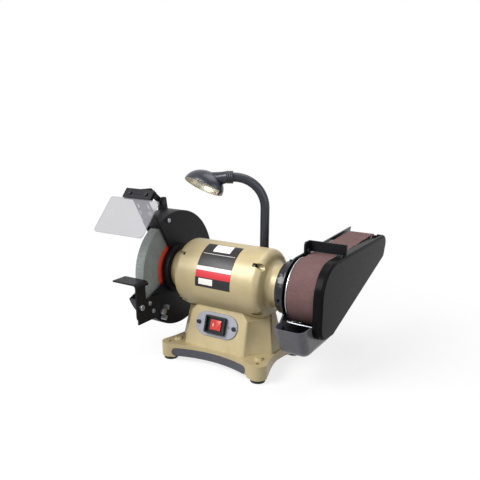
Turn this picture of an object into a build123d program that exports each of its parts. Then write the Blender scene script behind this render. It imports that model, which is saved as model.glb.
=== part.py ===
from build123d import *
import os
from math import asin, atan2, cos, degrees, pi, radians, sin, sqrt, tan

# Two-wheel bench grinder frame with a grinding wheel on the left arbor, a belt sander on the right
# arbor and a gooseneck lamp behind the motor.  Lengths are in millimetres.
# X runs along the shaft towards the belt sander, -Y faces the operator and Z is up.  The origin is
# the centre of the four bench bolts, on the bench.  Side outlines are given as (y, height above shaft).

# Fits and clearances
seat_gap = 0.1
run_gap = 0.05
part_gap = 0.3
slide_gap = 0.2
flat_gap = 0.02

# Shaft line
shaft_height = 161.0
journal_radius = 8.5
arbor_radius = 8.0
core_shaft_radius = 11.0
shaft_proud = 5.0
shaft_chamfer = 1.0
shoulder_gap = 1.0

# Motor housing
motor_center = -3.0
barrel_length = 122.0
barrel_radius = 65.0
barrel_wall = 10.0
bell_rim = 18.0
bell_round = 14.0
bell_cavity_depth = 14.0
bell_wall = 13.0
nose_radius = 39.0
nose_reach_left = 63.0
nose_reach_right = 68.0
nose_hole_radius = 10.0

# Motor screws, in pockets at the corners of both bells
bolt_inset = 5.5
bolt_count = 4
bolt_first_angle = 45.0
bolt_radius = 2.5
bolt_head_radius = 4.4
bolt_head = 5.0
bolt_thread = 20.0
bolt_socket = 3.0
pocket_radius = 6.5
pocket_depth = 6.0
pocket_lug_radius = 9.5
pocket_lug_length = 8.0

# Bearings
bearing_radius = 20.0
bearing_width = 12.0
bearing_inset = 18.0
race_wall = 4.0

# Stator and rotor
stator_length = 78.0
stator_bore = 33.0
stator_slots = 18
slot_width = 5.0
slot_depth = 11.0
slot_lip = 2.0
winding_reach = 12.0
winding_wall = 13.0
air_gap = 0.5
end_ring = 6.0
end_ring_wall = 9.0

# Lamp boss on the back of the barrel
lamp_along = 37.3
lamp_inset = 5.0
lamp_boss_radius = 12.0
lamp_boss_rise = 0.8
lamp_bush_radius = 5.0
lamp_bush_depth = 14.0

# Label on the front of the barrel
label_start = 23.0
label_width = 75.0
label_low_angle = -5.0
label_high_angle = 76.0
label_thickness = 0.5

# Base casting
hole_spacing_x = 196.0
hole_spacing_y = 142.0
bench_hole_radius = 4.25
lug_radius = 17.0
lug_front_turn = 110.0
lug_side_turn = -30.0
lug_top = 34.0
lug_bottom = 7.0
front_edge = 66.0
side_edge = 103.0
apron_bottom = 10.0
side_arch = 7.0
base_wall = 6.0
hump_radius = 8.0
hump_height = 5.0
hump_draft = 20.0
hump_inset_x = 7.0
hump_inset_y = 15.0
foot_radius = 15.0
foot_taper = 1.5
foot_recess = 2.0

# Pedestal, a cross in plan with hollow corners, from the flange up to the saddle
front_x = -5.0
saddle_drop = 37.0
saddle_wall = 10.0
shoulder_drop = 29.0
front_half_low = 66.5
front_half_shoulder = 62.5
front_half_high = 36.0
front_depth_low = 62.0
front_depth_high = 33.0
side_half_low = 101.0
side_half_high = 87.0
side_depth_low = 24.0
side_depth_high = 7.0
waist = 3.0
pedestal_edge = 5.0
cavity_half = 46.0

# Trim strip let into the front apron
trim_half = 81.0
trim_height = 16.0
trim_depth = 2.0
trim_proud = 0.8
trim_corner = 7.0

# Bottom cover and its posts
cover_plate = 2.0
cover_inset = 0.6
post_radius = 7.0
post_x = 50.0
post_y = 59.0
cover_screw_radius = 2.0
cover_screw_head = 4.0
cover_screw_head_height = 2.4
cover_screw_length = 12.0

# Capacitor inside the base
capacitor_radius = 19.0
capacitor_length = 72.0
capacitor_y = 18.0
capacitor_edge = 3.0

# Cable gland at the back of the base
gland_x = -30.0
gland_height = 62.0
gland_radius = 8.0
gland_bore = 4.0
gland_collar_radius = 12.0
gland_collar = 4.0
gland_nose = 12.0
gland_draft = 6.0
gland_grip = 18.0

# Switch on the leaning front face
switch_drop = 18.0
switch_plate_length = 92.0
switch_plate_width = 46.0
switch_plate_thickness = 2.5
bezel_length = 44.0
bezel_width = 34.0
bezel_proud = 7.0
bezel_corner = 3.0
bezel_rim = 3.0
rocker_sink = 6.0
rocker_length = 22.0
rocker_width = 19.0
rocker_foot_share = 0.6
rocker_rise = 3.0
rocker_throw = 7.0
rocker_pivot_depth = 6.0
switch_body_depth = 26.0
switch_body_length = 38.0
switch_body_width = 26.0
switch_screw_spacing = 78.0
switch_screw_radius = 2.0
switch_screw_head = 4.0
indicator_radius = 1.8
indicator_offset = 28.5

# Grinding wheel and its clamping pieces
wheel_radius = 100.0
wheel_width = 20.0
wheel_standoff = 9.0
blotter_radius = 57.0
blotter_thickness = 0.6
flange_radius = 35.0
flange_thickness = 4.4
flange_hub_radius = 14.0
nut_flats = 24.0
nut_height = 12.0

# Wheel guard
guard_radius = 115.0
guard_wall = 2.5
guard_plate = 3.0
guard_depth = 36.0
wheel_side_gap = 6.0
guard_bore = 26.0
hub_radius = 50.0
opening_top_angle = 60.0
opening_low_angle = 22.0
collar_width = 9.0
dish_radius = 34.0
dish_base_radius = 46.0
dish_depth = 18.0
guard_screw_circle = 34.0
guard_screw_radius = 2.5
guard_screw_head = 4.8
guard_screw_length = 15.0
guard_screw_count = 3
guard_screw_angle = 90.0
cover_boss_radius = 4.0
cover_boss_length = 9.0
cover_boss_angles = (62.0, -20.0, -125.0)
guard_cover_screw_radius = 1.8
guard_cover_screw_head = 3.6
plate_screw = (-31.0, 101.0)

# Spark arrestor on a radial tab at the top of the opening
arrestor_gap = 5.0
arrestor_length = 64.0
arrestor_thickness = 2.0
arrestor_width = 37.0
arrestor_slot_radius = 2.2
arrestor_slot_start = 31.0
arrestor_slot_length = 22.0
arrestor_slot_spacing = 24.0
arrestor_bolt_reach = 141.0
tab_reach = 147.0
tab_thickness = 2.5

# Eye shield, its arm and its post on the guard's outer cover
shield_width = 115.0
shield_length = 77.0
shield_thickness = 2.5
shield_corner = 6.0
shield_top_y = -98.0
shield_top_height = 149.0
shield_lean = 43.0
shield_shift = 1.0
strip_length = 66.0
strip_height = 20.0
strip_thickness = 2.5
strip_offset = 4.0
strip_screw_spacing = 38.0
strip_screw_radius = 1.9
strip_screw_head = 3.6
post_corners = ((-8.0, 84.0), (26.0, 84.0), (17.0, 137.0), (-3.0, 137.0))
post_corner = 5.0
post_thickness = 4.0
post_screws = ((9.0, 92.0), (9.0, 106.0))
pivot = (7.0, 127.0)
arm_knee = (-24.0, 152.0)
shield_arm_width = 12.0
shield_arm_thickness = 3.0
shield_pin_radius = 3.0
shield_nut_flats = 10.0
shield_nut_height = 5.0

# Tool rest, its bracket and its fastenings
rest_top = 0.0
rest_front = -138.0
rest_wheel_gap = 3.5
rest_overhang = 22.0
rest_thickness = 3.0
rest_bend = 8.0
rest_leg_inset = 9.0
rest_foot_height = -62.0
rest_bolt_y = -127.0
rest_bolt_height = -46.0
rest_bolt_radius = 3.0
rest_bolt_head = 5.5
rest_bolt_head_height = 4.0
rest_slot_toward = 2.0
rest_slot_away = 8.0
bracket_back = -58.0
bracket_top = -36.0
bracket_bottom = -81.0
bracket_front = -131.0
bracket_corner = 8.0
bracket_chin = 18.0
bracket_screw_head = 4.2
bracket_screw_places = ((-100.0, -46.0), (-90.0, -64.0))
wing_y = -64.5
wing_height = -73.0
wing_hub_radius = 6.0
wing_hub = 8.0
wing_span = 15.0
wing_thickness = 3.0
wing_rise = 13.0

# Belt sander drive
belt_length = 686.0
belt_width = 50.0
belt_thickness = 1.0
belt_gap = 7.0
drum_radius = 56.0
drum_wall = 6.0
drum_overhang = 1.0
drum_flange = 1.2
drum_flange_rise = 1.3
drum_web = 8.0
drum_hub_radius = 18.0
drum_hub_length = 55.0
idler_radius = 15.0
idler_wall = 3.0
idler_axle_radius = 4.0
arm_rise = 12.6

# Sander arm
arm_collar_reach = 11.0
arm_collar_radius = 48.0
arm_collar_proud = 7.0
frame_plate = 3.0
frame_margin = 2.5
frame_tip = 30.0
frame_bore = 30.0
frame_screw_circle = 43.5
frame_screw_count = 3
frame_screw_angle = 30.0
frame_screw_radius = 2.2
frame_screw_head = 4.0
lower_wall = 3.0
lower_wall_gap = 5.0
set_screw_radius = 3.0
set_screw_angles = (195.0, 315.0, 85.0)
spacer_radius = 6.0
spacer_places = ((78.0, 2.0), (168.0, 18.0))
spacer_screw_radius = 2.5
spacer_screw_head = 5.0
spacer_screw_length = 16.0

# Sander outer cover
cover_gap = 1.5
cover_depth = 16.5
cover_wall = 2.5
cover_top = 61.5
cover_front = -60.0
cover_chin = -69.0
cover_heel_y = -4.0
cover_heel = -72.0
cover_knee_y = 246.0
cover_knee = 15.0
cover_tip = 263.0
cover_corners = (56.0, 28.0, 20.0, 10.0, 18.0)
cover_round = 5.0
cover_notch = (186.0, 242.0)
cover_notch_depth = 10.0

# Platen under the upper run
platen_start = 48.0
platen_length = 100.0
platen_thickness = 3.0
platen_lip = 16.0

# Belt tension slide, spring and tracking knob
slide_thickness = 4.0
slide_height = 24.0
slide_lead = 15.0
slide_tail = 16.0
slide_travel = 8.0
slide_spare = 1.0
slide_pin_radius = 4.0
slide_pin_head = 7.0
slide_pin_head_height = 1.2
slide_pin_spacing = 30.0
spring_radius = 5.0
spring_wire = 1.2
spring_length = 30.0
knob_radius = 14.0
knob_height = 14.0
knob_lobes = 6
knob_flute = 3.0
knob_stem = 4.0
knob_gap = 1.0

# Work rest over the belt
work_rest_y = 40.0
work_rest_thickness = 3.0
work_rest_gap = 3.2
work_rest_height = 19.0
work_rest_inset = 2.0
work_rest_ear = 22.0
work_rest_ear_drop = 18.0
work_rest_travel = 10.0
work_bolt_radius = 2.5
work_bolt_head = 4.5
stop_screw_y = 25.0
stop_screw_height = 4.0

# Dust tray under the drum
tray_wall = 2.5
tray_lip_y = -97.0
tray_lip = -42.0
tray_shoulder_y = -64.0
tray_back_y = 26.0
tray_back = -73.0
tray_heel = -96.0
tray_toe_y = -70.0
tray_toe = -98.0
tray_round = 24.0
tray_edge = 14.0
tray_bolt_radius = 2.5
tray_bolt_head = 4.6
tray_bolt_places = ((-58.0, -56.0), (4.0, -70.0))
tray_lug_radius = 10.0
tray_rod_radius = 1.6
tray_rod_y = -46.0
tray_rod_height = -47.5

# Lamp: gooseneck, hood, reflector, bulb and lens
goose_radius = 8.8
goose_bend = 58.0
goose_height = 140.0
goose_run = 60.0
lamp_heading = 30.4
lamp_nut_height = 5.0
lamp_nut_radius = 11.5
neck_length = 13.0
neck_radius = 11.5
shoulder_radius = 19.5
shoulder_depth = 11.0
shoulder_reach = 6.0
hood_ahead = 57.3
hood_aside = 10.9
hood_drop = 19.1
hood_half_length = 44.0
hood_half_width = 31.0
hood_wall = 2.0
reflector_gap = 0.3
reflector_wall = 1.0
bulb_radius = 8.0
bulb_length = 30.0
bulb_depth = 12.0
bulb_socket_radius = 9.5
bulb_socket = 12.0
lamp_aim = (-0.20, -0.55, -0.81)
hood_rear = (0.975, -0.12, -0.12)

# Places worked out from the sizes above
shaft_axis = Axis((0, 0, shaft_height), (1, 0, 0))
shaft_section = Plane(origin=(0, 0, shaft_height), x_dir=(1, 0, 0), z_dir=(0, -1, 0))
barrel_left = motor_center - barrel_length / 2
barrel_right = motor_center + barrel_length / 2
barrel_bore = barrel_radius - barrel_wall
bolt_circle = barrel_radius - bolt_inset
nose_end_left = barrel_left - nose_reach_left
nose_end_right = barrel_right + nose_reach_right
label_left = barrel_left + label_start
pedestal_top = shaft_height - saddle_drop
cavity_top = shaft_height - barrel_radius - saddle_wall
switch_height = shaft_height - barrel_radius - switch_drop
wheel_inner_face = nose_end_left - wheel_standoff
half_x = hole_spacing_x / 2
half_y = hole_spacing_y / 2
bench_holes = [(sx * half_x, sy * half_y) for sx in (-1, 1) for sy in (-1, 1)]
wheel_outer_face = wheel_inner_face - wheel_width
wheel_middle = (wheel_inner_face + wheel_outer_face) / 2
guard_plate_in = wheel_inner_face + wheel_side_gap
guard_plate_out = guard_plate_in + guard_plate
guard_cover_in = guard_plate_in - guard_depth
guard_cover_out = guard_cover_in - guard_wall
frame_in = nose_end_right + arm_collar_proud
frame_out = frame_in + frame_plate
belt_left = frame_out + belt_gap
belt_right = belt_left + belt_width
cover_inner = belt_right + cover_gap
cover_face = cover_inner + cover_depth
belt_bore = drum_radius + part_gap
idler_belt_bore = idler_radius + part_gap
tray_left = frame_out + flat_gap
tray_width = cover_inner - part_gap - tray_left
lamp_x = motor_center + lamp_along
lamp_y = barrel_radius - lamp_inset
lamp_boss_seat = sqrt(barrel_radius ** 2 - (lamp_y - lamp_nut_radius) ** 2)
lamp_boss_top = shaft_height + lamp_boss_seat + lamp_boss_rise
goose_top = lamp_boss_top + goose_height


def side_plane(x):
    """Plane across the shaft at x, with Y to the right, Z up and its origin on the shaft line."""
    return Plane(origin=(x, 0, shaft_height), x_dir=(0, 1, 0), z_dir=(1, 0, 0))


def save(builder, name):
    """Label one finished piece and write it to its own file."""
    builder.part.label = name
    export_step(builder.part, f"parts/{name}.step")


os.makedirs("parts", exist_ok=True)


# Base casting: flange with four lugs, hollow pedestal and saddle under the motor
lug_front, lug_corner, lug_side = [(half_x + lug_radius * cos(radians(turn)),
                                    half_y + lug_radius * sin(radians(turn)))
                                   for turn in (lug_front_turn, 45, lug_side_turn)]
front_sag = lug_front[1] - front_edge
front_arc_radius = (lug_front[0] ** 2 + front_sag ** 2) / (2 * front_sag)
front_arc_center = -front_edge - front_arc_radius


def flange_outline():
    """Plan of the flange: rounded lugs joined by edges that bow inwards."""
    with BuildSketch() as plan:
        with BuildLine():
            for sx, sy in ((1, -1), (1, 1), (-1, 1), (-1, -1)):
                front = (sx * lug_front[0], sy * lug_front[1])
                corner = (sx * lug_corner[0], sy * lug_corner[1])
                side = (sx * lug_side[0], sy * lug_side[1])
                ThreePointArc(front, corner, side)
            for sign in (-1, 1):
                ThreePointArc((-lug_front[0], sign * lug_front[1]), (0, sign * front_edge),
                              (lug_front[0], sign * lug_front[1]))
                ThreePointArc((sign * lug_side[0], -lug_side[1]), (sign * side_edge, 0),
                              (sign * lug_side[0], lug_side[1]))
        make_face()
    return plan.sketch


def pedestal_outline(front_half, front_depth, side_half, side_depth):
    """Plan of the pedestal at one height: a cross whose four corners are hollow curves."""
    with BuildSketch() as plan:
        with BuildLine():
            for sign in (-1, 1):
                Line((front_x - front_half, sign * front_depth), (front_x + front_half, sign * front_depth))
                Line((sign * side_half, -side_depth), (sign * side_half, side_depth))
                for sx in (-1, 1):
                    front = front_x + sx * front_half
                    middle = ((front + sx * side_half) / 2 - sx * waist,
                              sign * ((front_depth + side_depth) / 2 - waist))
                    ThreePointArc((front, sign * front_depth), middle, (sx * side_half, sign * side_depth))
        make_face()
        fillet(plan.vertices(), pedestal_edge)
    return plan.sketch


lean_run = front_depth_low - front_depth_high
lean_rise = pedestal_top - lug_top
front_lean = degrees(atan2(lean_run, lean_rise))


def lean_plane(x, height, proud=0.0, back=False):
    """Plane on the leaning front (or back) face: x across, y up the slope, z outwards."""
    sign = 1 if back else -1
    depth = front_depth_low - (height - lug_top) * tan(radians(front_lean))
    face = Plane(origin=(x, sign * depth, height), x_dir=(-sign, 0, 0),
                 z_dir=(0, sign * cos(radians(front_lean)), sin(radians(front_lean))))
    return face.offset(proud)


def trim_block(proud):
    """Strip along the front apron, bent to the apron's curve, standing proud of it."""
    with BuildPart() as block:
        with BuildSketch(Plane.XZ.offset(front_edge - 2 * trim_depth)):
            with Locations((front_x, apron_bottom + trim_height / 2)):
                RectangleRounded(2 * trim_half, trim_height, trim_corner)
        extrude(amount=lug_front[1] - front_edge + 4 * trim_depth)
        with BuildSketch(Plane.XY.offset(apron_bottom)):
            with Locations((0, front_arc_center)):
                Circle(front_arc_radius + trim_depth)
                Circle(front_arc_radius - proud, mode=Mode.SUBTRACT)
        extrude(amount=trim_height, mode=Mode.INTERSECT)
    return block.part


with BuildPart() as motor_clearance:
    with BuildSketch(shaft_section):
        with BuildLine():
            bell_hollow = barrel_radius - nose_radius - bell_round
            edge = barrel_radius + seat_gap
            inner_edge = nose_radius + seat_gap
            right_rim = barrel_right + bell_rim
            left_rim = barrel_left - bell_rim
            reach = bell_round + bell_hollow
            slope = bell_round + seat_gap
            hollow = bell_hollow - seat_gap
            Line((left_rim, edge), (right_rim, edge))
            for rim, sign, tip in ((right_rim, 1, nose_end_right), (left_rim, -1, nose_end_left)):
                middle = (rim + sign * slope, edge - slope)
                end = (rim + sign * reach, inner_edge)
                ThreePointArc((rim, edge),
                              (rim + sign * slope * sin(pi / 4), edge - slope * (1 - cos(pi / 4))),
                              middle)
                ThreePointArc(middle, (end[0] - sign * hollow * cos(pi / 4),
                                       middle[1] - hollow * sin(pi / 4)), end)
                Polyline(end, (tip, inner_edge), (tip, 0))
            Line((nose_end_left, 0), (nose_end_right, 0))
        make_face()
    revolve(axis=shaft_axis)

with BuildPart() as base_casting:
    shoulder_share = shoulder_drop / lean_rise
    sections = ((lug_top, front_half_low, 0), (pedestal_top - shoulder_drop, front_half_shoulder,
                                               1 - shoulder_share), (pedestal_top, front_half_high, 1))
    for height, half, share in sections:
        with BuildSketch(Plane.XY.offset(height)):
            add(pedestal_outline(half, front_depth_low - share * lean_run,
                                 side_half_low - share * (side_half_low - side_half_high),
                                 side_depth_low - share * (side_depth_low - side_depth_high)))
    loft(ruled=True)
    with BuildSketch(Plane.XY.offset(lug_bottom)):
        add(flange_outline())
    extrude(amount=lug_top - lug_bottom)
    with BuildSketch(Plane.XY.offset(lug_top - flat_gap)):
        with Locations(*[(sx * (half_x - hump_inset_x), sy * (half_y - hump_inset_y))
                         for sx in (-1, 1) for sy in (-1, 1)]):
            Circle(hump_radius)
    extrude(amount=hump_height + flat_gap, taper=hump_draft)
    # Hollow inside the flange and the pedestal
    with BuildSketch(Plane.XY.offset(lug_bottom)):
        add(flange_outline())
        offset(amount=-base_wall, mode=Mode.REPLACE)
        with Locations(*bench_holes):
            Circle(lug_radius, mode=Mode.SUBTRACT)
        with GridLocations(2 * post_x, 2 * post_y, 2, 2):
            Circle(post_radius, mode=Mode.SUBTRACT)
    extrude(amount=lug_top - lug_bottom - base_wall, mode=Mode.SUBTRACT)
    cavity_share = (cavity_top - lug_top) / lean_rise
    cavity_front = front_depth_low - cavity_share * lean_run - base_wall
    with BuildSketch(Plane.XY.offset(lug_top - base_wall)):
        Rectangle(2 * cavity_half, 2 * (front_depth_low - 2 * base_wall))
    with BuildSketch(Plane.XY.offset(cavity_top)):
        Rectangle(2 * cavity_half, 2 * (cavity_front - base_wall / 2))
    loft(ruled=True, mode=Mode.SUBTRACT)
    # Aprons end above the lugs' feet, higher at the two sides
    with BuildSketch(Plane.XY.offset(lug_bottom)):
        Rectangle(2 * (half_x - lug_radius), 4 * half_y)
    extrude(amount=apron_bottom - lug_bottom, mode=Mode.SUBTRACT)
    with BuildSketch(side_plane(0)):
        with BuildLine():
            arch_half = half_y - lug_radius
            floor = lug_bottom - shaft_height
            ThreePointArc((-arch_half, floor), (0, apron_bottom + side_arch - shaft_height),
                          (arch_half, floor))
            Line((arch_half, floor), (-arch_half, floor))
        make_face()
    extrude(amount=2 * half_x, both=True, mode=Mode.SUBTRACT)
    # Saddle under the motor
    add(motor_clearance.part, mode=Mode.SUBTRACT)
    # Bench bolts, cover posts, switch and cable openings, seat of the front trim
    with Locations(*[(x, y, lug_top) for x, y in bench_holes]):
        Hole(bench_hole_radius)
    with BuildSketch(Plane.XY.offset(lug_bottom)):
        with Locations(*bench_holes):
            Circle(foot_radius + seat_gap)
    extrude(amount=foot_recess, mode=Mode.SUBTRACT)
    with BuildSketch(Plane.XY.offset(lug_bottom)):
        with GridLocations(2 * post_x, 2 * post_y, 2, 2):
            Circle(post_radius + part_gap)
    extrude(amount=apron_bottom + cover_plate - lug_bottom, mode=Mode.SUBTRACT)
    with BuildSketch(Plane.XY.offset(apron_bottom + cover_plate)):
        with GridLocations(2 * post_x, 2 * post_y, 2, 2):
            Circle(cover_screw_radius)
    extrude(amount=cover_screw_length, mode=Mode.SUBTRACT)
    with BuildSketch(lean_plane(front_x, switch_height)):
        Rectangle(switch_body_length + 2 * slide_gap, switch_body_width + 2 * slide_gap)
    extrude(amount=-switch_body_depth - part_gap, mode=Mode.SUBTRACT)
    with BuildSketch(lean_plane(front_x, switch_height)):
        with GridLocations(switch_screw_spacing, 1, 2, 1):
            Circle(switch_screw_radius)
    extrude(amount=-base_wall, mode=Mode.SUBTRACT)
    with BuildSketch(lean_plane(gland_x, gland_height, back=True)):
        Circle(gland_radius + seat_gap)
    extrude(amount=-gland_grip, mode=Mode.SUBTRACT)
    add(trim_block(0.0), mode=Mode.SUBTRACT)
save(base_casting, "base_casting")

with BuildPart() as front_trim:
    add(trim_block(trim_proud))
save(front_trim, "front_trim")

with BuildPart() as rubber_feet:
    with BuildSketch(Plane.XY.offset(lug_bottom)):
        with Locations(*bench_holes):
            Circle(foot_radius)
    extrude(amount=foot_recess)
    with BuildSketch(Plane.XY.offset(lug_bottom)):
        with Locations(*bench_holes):
            Circle(foot_radius)
    extrude(amount=-lug_bottom, taper=degrees(atan2(foot_taper, lug_bottom)))
    with BuildSketch(Plane.XY):
        with Locations(*bench_holes):
            Circle(bench_hole_radius)
    extrude(amount=lug_top, mode=Mode.SUBTRACT)
save(rubber_feet, "rubber_feet")

with BuildPart() as bottom_cover:
    with BuildSketch(Plane.XY.offset(apron_bottom)):
        add(flange_outline())
        offset(amount=-base_wall - cover_inset, mode=Mode.REPLACE)
        with Locations(*bench_holes):
            Circle(lug_radius + cover_inset, mode=Mode.SUBTRACT)
        with GridLocations(2 * post_x, 2 * post_y, 2, 2):
            Circle(cover_screw_radius + flat_gap, mode=Mode.SUBTRACT)
    extrude(amount=cover_plate)
save(bottom_cover, "bottom_cover")

switch_face = lean_plane(front_x, switch_height, switch_plate_thickness)

with BuildPart() as base_screws:
    with BuildSketch(Plane.XY.offset(apron_bottom)):
        with GridLocations(2 * post_x, 2 * post_y, 2, 2):
            Circle(cover_screw_radius)
    extrude(amount=cover_screw_length)
    with BuildSketch(Plane.XY.offset(apron_bottom)):
        with GridLocations(2 * post_x, 2 * post_y, 2, 2):
            Circle(cover_screw_head)
    extrude(amount=-cover_screw_head_height)
    with BuildSketch(switch_face):
        with GridLocations(switch_screw_spacing, 1, 2, 1):
            Circle(switch_screw_radius)
    extrude(amount=-base_wall)
    with BuildSketch(switch_face):
        with GridLocations(switch_screw_spacing, 1, 2, 1):
            Circle(switch_screw_head)
    extrude(amount=cover_screw_head_height)
save(base_screws, "base_screws")

with BuildPart() as capacitor:
    capacitor_height = apron_bottom + cover_plate + capacitor_radius
    with BuildSketch(Plane(origin=(-capacitor_length / 2, capacitor_y, capacitor_height + slide_gap),
                           x_dir=(0, 1, 0), z_dir=(1, 0, 0))):
        Circle(capacitor_radius)
    extrude(amount=capacitor_length)
    fillet(capacitor.edges().group_by(Axis.X)[-1], capacitor_edge)
save(capacitor, "capacitor")

with BuildPart() as cable_gland:
    with BuildSketch(lean_plane(gland_x, gland_height, back=True)):
        Circle(gland_radius)
    extrude(amount=-gland_grip)
    with BuildSketch(lean_plane(gland_x, gland_height, flat_gap, back=True)):
        Circle(gland_collar_radius)
    extrude(amount=gland_collar)
    with BuildSketch(lean_plane(gland_x, gland_height, gland_collar, back=True)):
        Circle(gland_radius)
    extrude(amount=gland_nose, taper=gland_draft)
    with BuildSketch(lean_plane(gland_x, gland_height, gland_collar + gland_nose, back=True)):
        Circle(gland_bore)
    extrude(amount=-gland_collar - gland_nose - gland_grip, mode=Mode.SUBTRACT)
save(cable_gland, "cable_gland")

with BuildPart() as switch_plate:
    with BuildSketch(lean_plane(front_x, switch_height)):
        SlotOverall(switch_plate_length, switch_plate_width)
        Rectangle(switch_body_length + 2 * slide_gap, switch_body_width + 2 * slide_gap,
                  mode=Mode.SUBTRACT)
        with GridLocations(switch_screw_spacing, 1, 2, 1):
            Circle(switch_screw_radius + flat_gap, mode=Mode.SUBTRACT)
        with Locations((indicator_offset, 0)):
            Circle(indicator_radius, mode=Mode.SUBTRACT)
    extrude(amount=switch_plate_thickness)
    outward = Axis(switch_face.origin, switch_face.z_dir)
    chamfer(switch_plate.faces().sort_by(outward)[-1].outer_wire().edges(), switch_plate_thickness / 4)
save(switch_plate, "switch_plate")

rocker_swing = (rocker_pivot_depth + rocker_rise) * sin(radians(rocker_throw)) + part_gap
rocker_well = rocker_rise + rocker_pivot_depth + rocker_length / 2 * sin(radians(2 * rocker_throw))

with BuildPart() as switch_bezel:
    with BuildSketch(switch_face):
        RectangleRounded(bezel_length, bezel_width, bezel_corner)
    extrude(amount=bezel_proud)
    with BuildSketch(switch_face):
        Rectangle(switch_body_length, switch_body_width)
    extrude(amount=-switch_body_depth)
    with BuildSketch(switch_face.offset(bezel_proud)):
        RectangleRounded(bezel_length - 2 * bezel_rim, bezel_width - 2 * bezel_rim, bezel_corner / 2)
    extrude(amount=-rocker_sink, mode=Mode.SUBTRACT)
    with BuildSketch(switch_face.offset(bezel_proud)):
        Rectangle(rocker_length + 2 * rocker_swing, rocker_width + 2 * part_gap)
    extrude(amount=-rocker_sink - rocker_well, mode=Mode.SUBTRACT)
save(switch_bezel, "switch_bezel")

rocker_face = switch_face.offset(bezel_proud - rocker_sink - rocker_pivot_depth)
rocker_tilt = rocker_face.x_dir * cos(radians(rocker_throw)) - rocker_face.z_dir * sin(radians(rocker_throw))
rocker_section = Plane(origin=rocker_face.origin, x_dir=rocker_tilt, z_dir=-rocker_face.y_dir)

with BuildPart() as switch_rocker:
    with BuildSketch(rocker_section):
        with BuildLine():
            half = rocker_length / 2
            crown = rocker_pivot_depth + rocker_rise
            valley = crown - 2 * half * tan(radians(rocker_throw)) / 2
            foot = rocker_foot_share * half
            Polyline((-half, crown), (0, valley), (half, crown), (foot, -rocker_rise),
                     (-foot, -rocker_rise), close=True)
        make_face()
    extrude(amount=rocker_width / 2, both=True)
save(switch_rocker, "switch_rocker")


# Motor: barrel, two end bells, their screws, stator, bearings and rotor
with BuildPart() as motor_barrel:
    with BuildSketch(side_plane(barrel_left)):
        Circle(barrel_radius)
    extrude(amount=barrel_length)
    with BuildSketch(Plane.XY.offset(shaft_height)):
        with Locations((lamp_x, lamp_y)):
            Circle(lamp_boss_radius)
    extrude(amount=lamp_boss_top - shaft_height)
    with BuildSketch(side_plane(barrel_left)):
        Circle(barrel_bore)
    extrude(amount=barrel_length, mode=Mode.SUBTRACT)
    with BuildSketch(Plane.XY.offset(lamp_boss_top)):
        with Locations((lamp_x, lamp_y)):
            Circle(lamp_bush_radius)
    extrude(amount=-lamp_bush_depth, mode=Mode.SUBTRACT)
    for seam, inward in ((barrel_left, 1), (barrel_right, -1)):
        with BuildSketch(side_plane(seam)):
            with PolarLocations(bolt_circle, bolt_count, bolt_first_angle):
                Circle(bolt_radius)
        extrude(amount=inward * bolt_thread, mode=Mode.SUBTRACT)
save(motor_barrel, "motor_barrel")


def make_bell(seam, nose_end, outward):
    """End bell: straight rim, hollow shoulder, bearing nose and pockets for the motor screws."""
    rim = seam + outward * bell_rim
    waist = (rim + outward * bell_round, barrel_radius - bell_round)
    hollow = waist[1] - nose_radius
    nose = (waist[0] + outward * hollow, nose_radius)
    bearing_out = nose_end - outward * bearing_inset
    cavity = seam + outward * bell_cavity_depth
    shelf = rim + outward * bell_round
    turn = sin(pi / 4)
    with BuildPart() as bell:
        with BuildSketch(shaft_section):
            with BuildLine():
                Polyline((seam, barrel_radius - bell_wall), (seam, barrel_radius), (rim, barrel_radius))
                ThreePointArc((rim, barrel_radius),
                              (rim + outward * bell_round * turn, waist[1] + bell_round * turn), waist)
                ThreePointArc(waist, (nose[0] - outward * hollow * turn, waist[1] - hollow * turn), nose)
                Polyline(nose, (nose_end, nose_radius), (nose_end, nose_hole_radius),
                         (bearing_out, nose_hole_radius), (bearing_out, bearing_radius + flat_gap),
                         (shelf, bearing_radius + flat_gap), (shelf, nose_radius - bell_wall),
                         (cavity, barrel_radius - bell_wall), (seam, barrel_radius - bell_wall))
            make_face()
        revolve(axis=shaft_axis)
        floor = seam + outward * (bell_rim - pocket_depth)
        with BuildSketch(side_plane(floor)):
            with PolarLocations(barrel_radius - pocket_lug_radius, bolt_count, bolt_first_angle):
                Circle(pocket_lug_radius)
        extrude(amount=outward * (pocket_depth + pocket_lug_length))
        with BuildSketch(side_plane(floor)):
            with PolarLocations(bolt_circle, bolt_count, bolt_first_angle):
                Circle(pocket_radius)
        extrude(amount=outward * (pocket_depth + bell_round + hollow), mode=Mode.SUBTRACT)
        with BuildSketch(side_plane(floor)):
            with PolarLocations(bolt_circle, bolt_count, bolt_first_angle):
                Circle(bolt_radius + seat_gap)
        extrude(amount=-outward * bell_rim, mode=Mode.SUBTRACT)
        if outward < 0:
            with BuildSketch(side_plane(nose_end)):
                with PolarLocations(guard_screw_circle, guard_screw_count, guard_screw_angle):
                    Circle(guard_screw_radius)
            extrude(amount=guard_screw_length, mode=Mode.SUBTRACT)
    return bell


end_bell_left = make_bell(barrel_left, nose_end_left, -1)
save(end_bell_left, "end_bell_left")
end_bell_right = make_bell(barrel_right, nose_end_right, 1)
save(end_bell_right, "end_bell_right")

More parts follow.
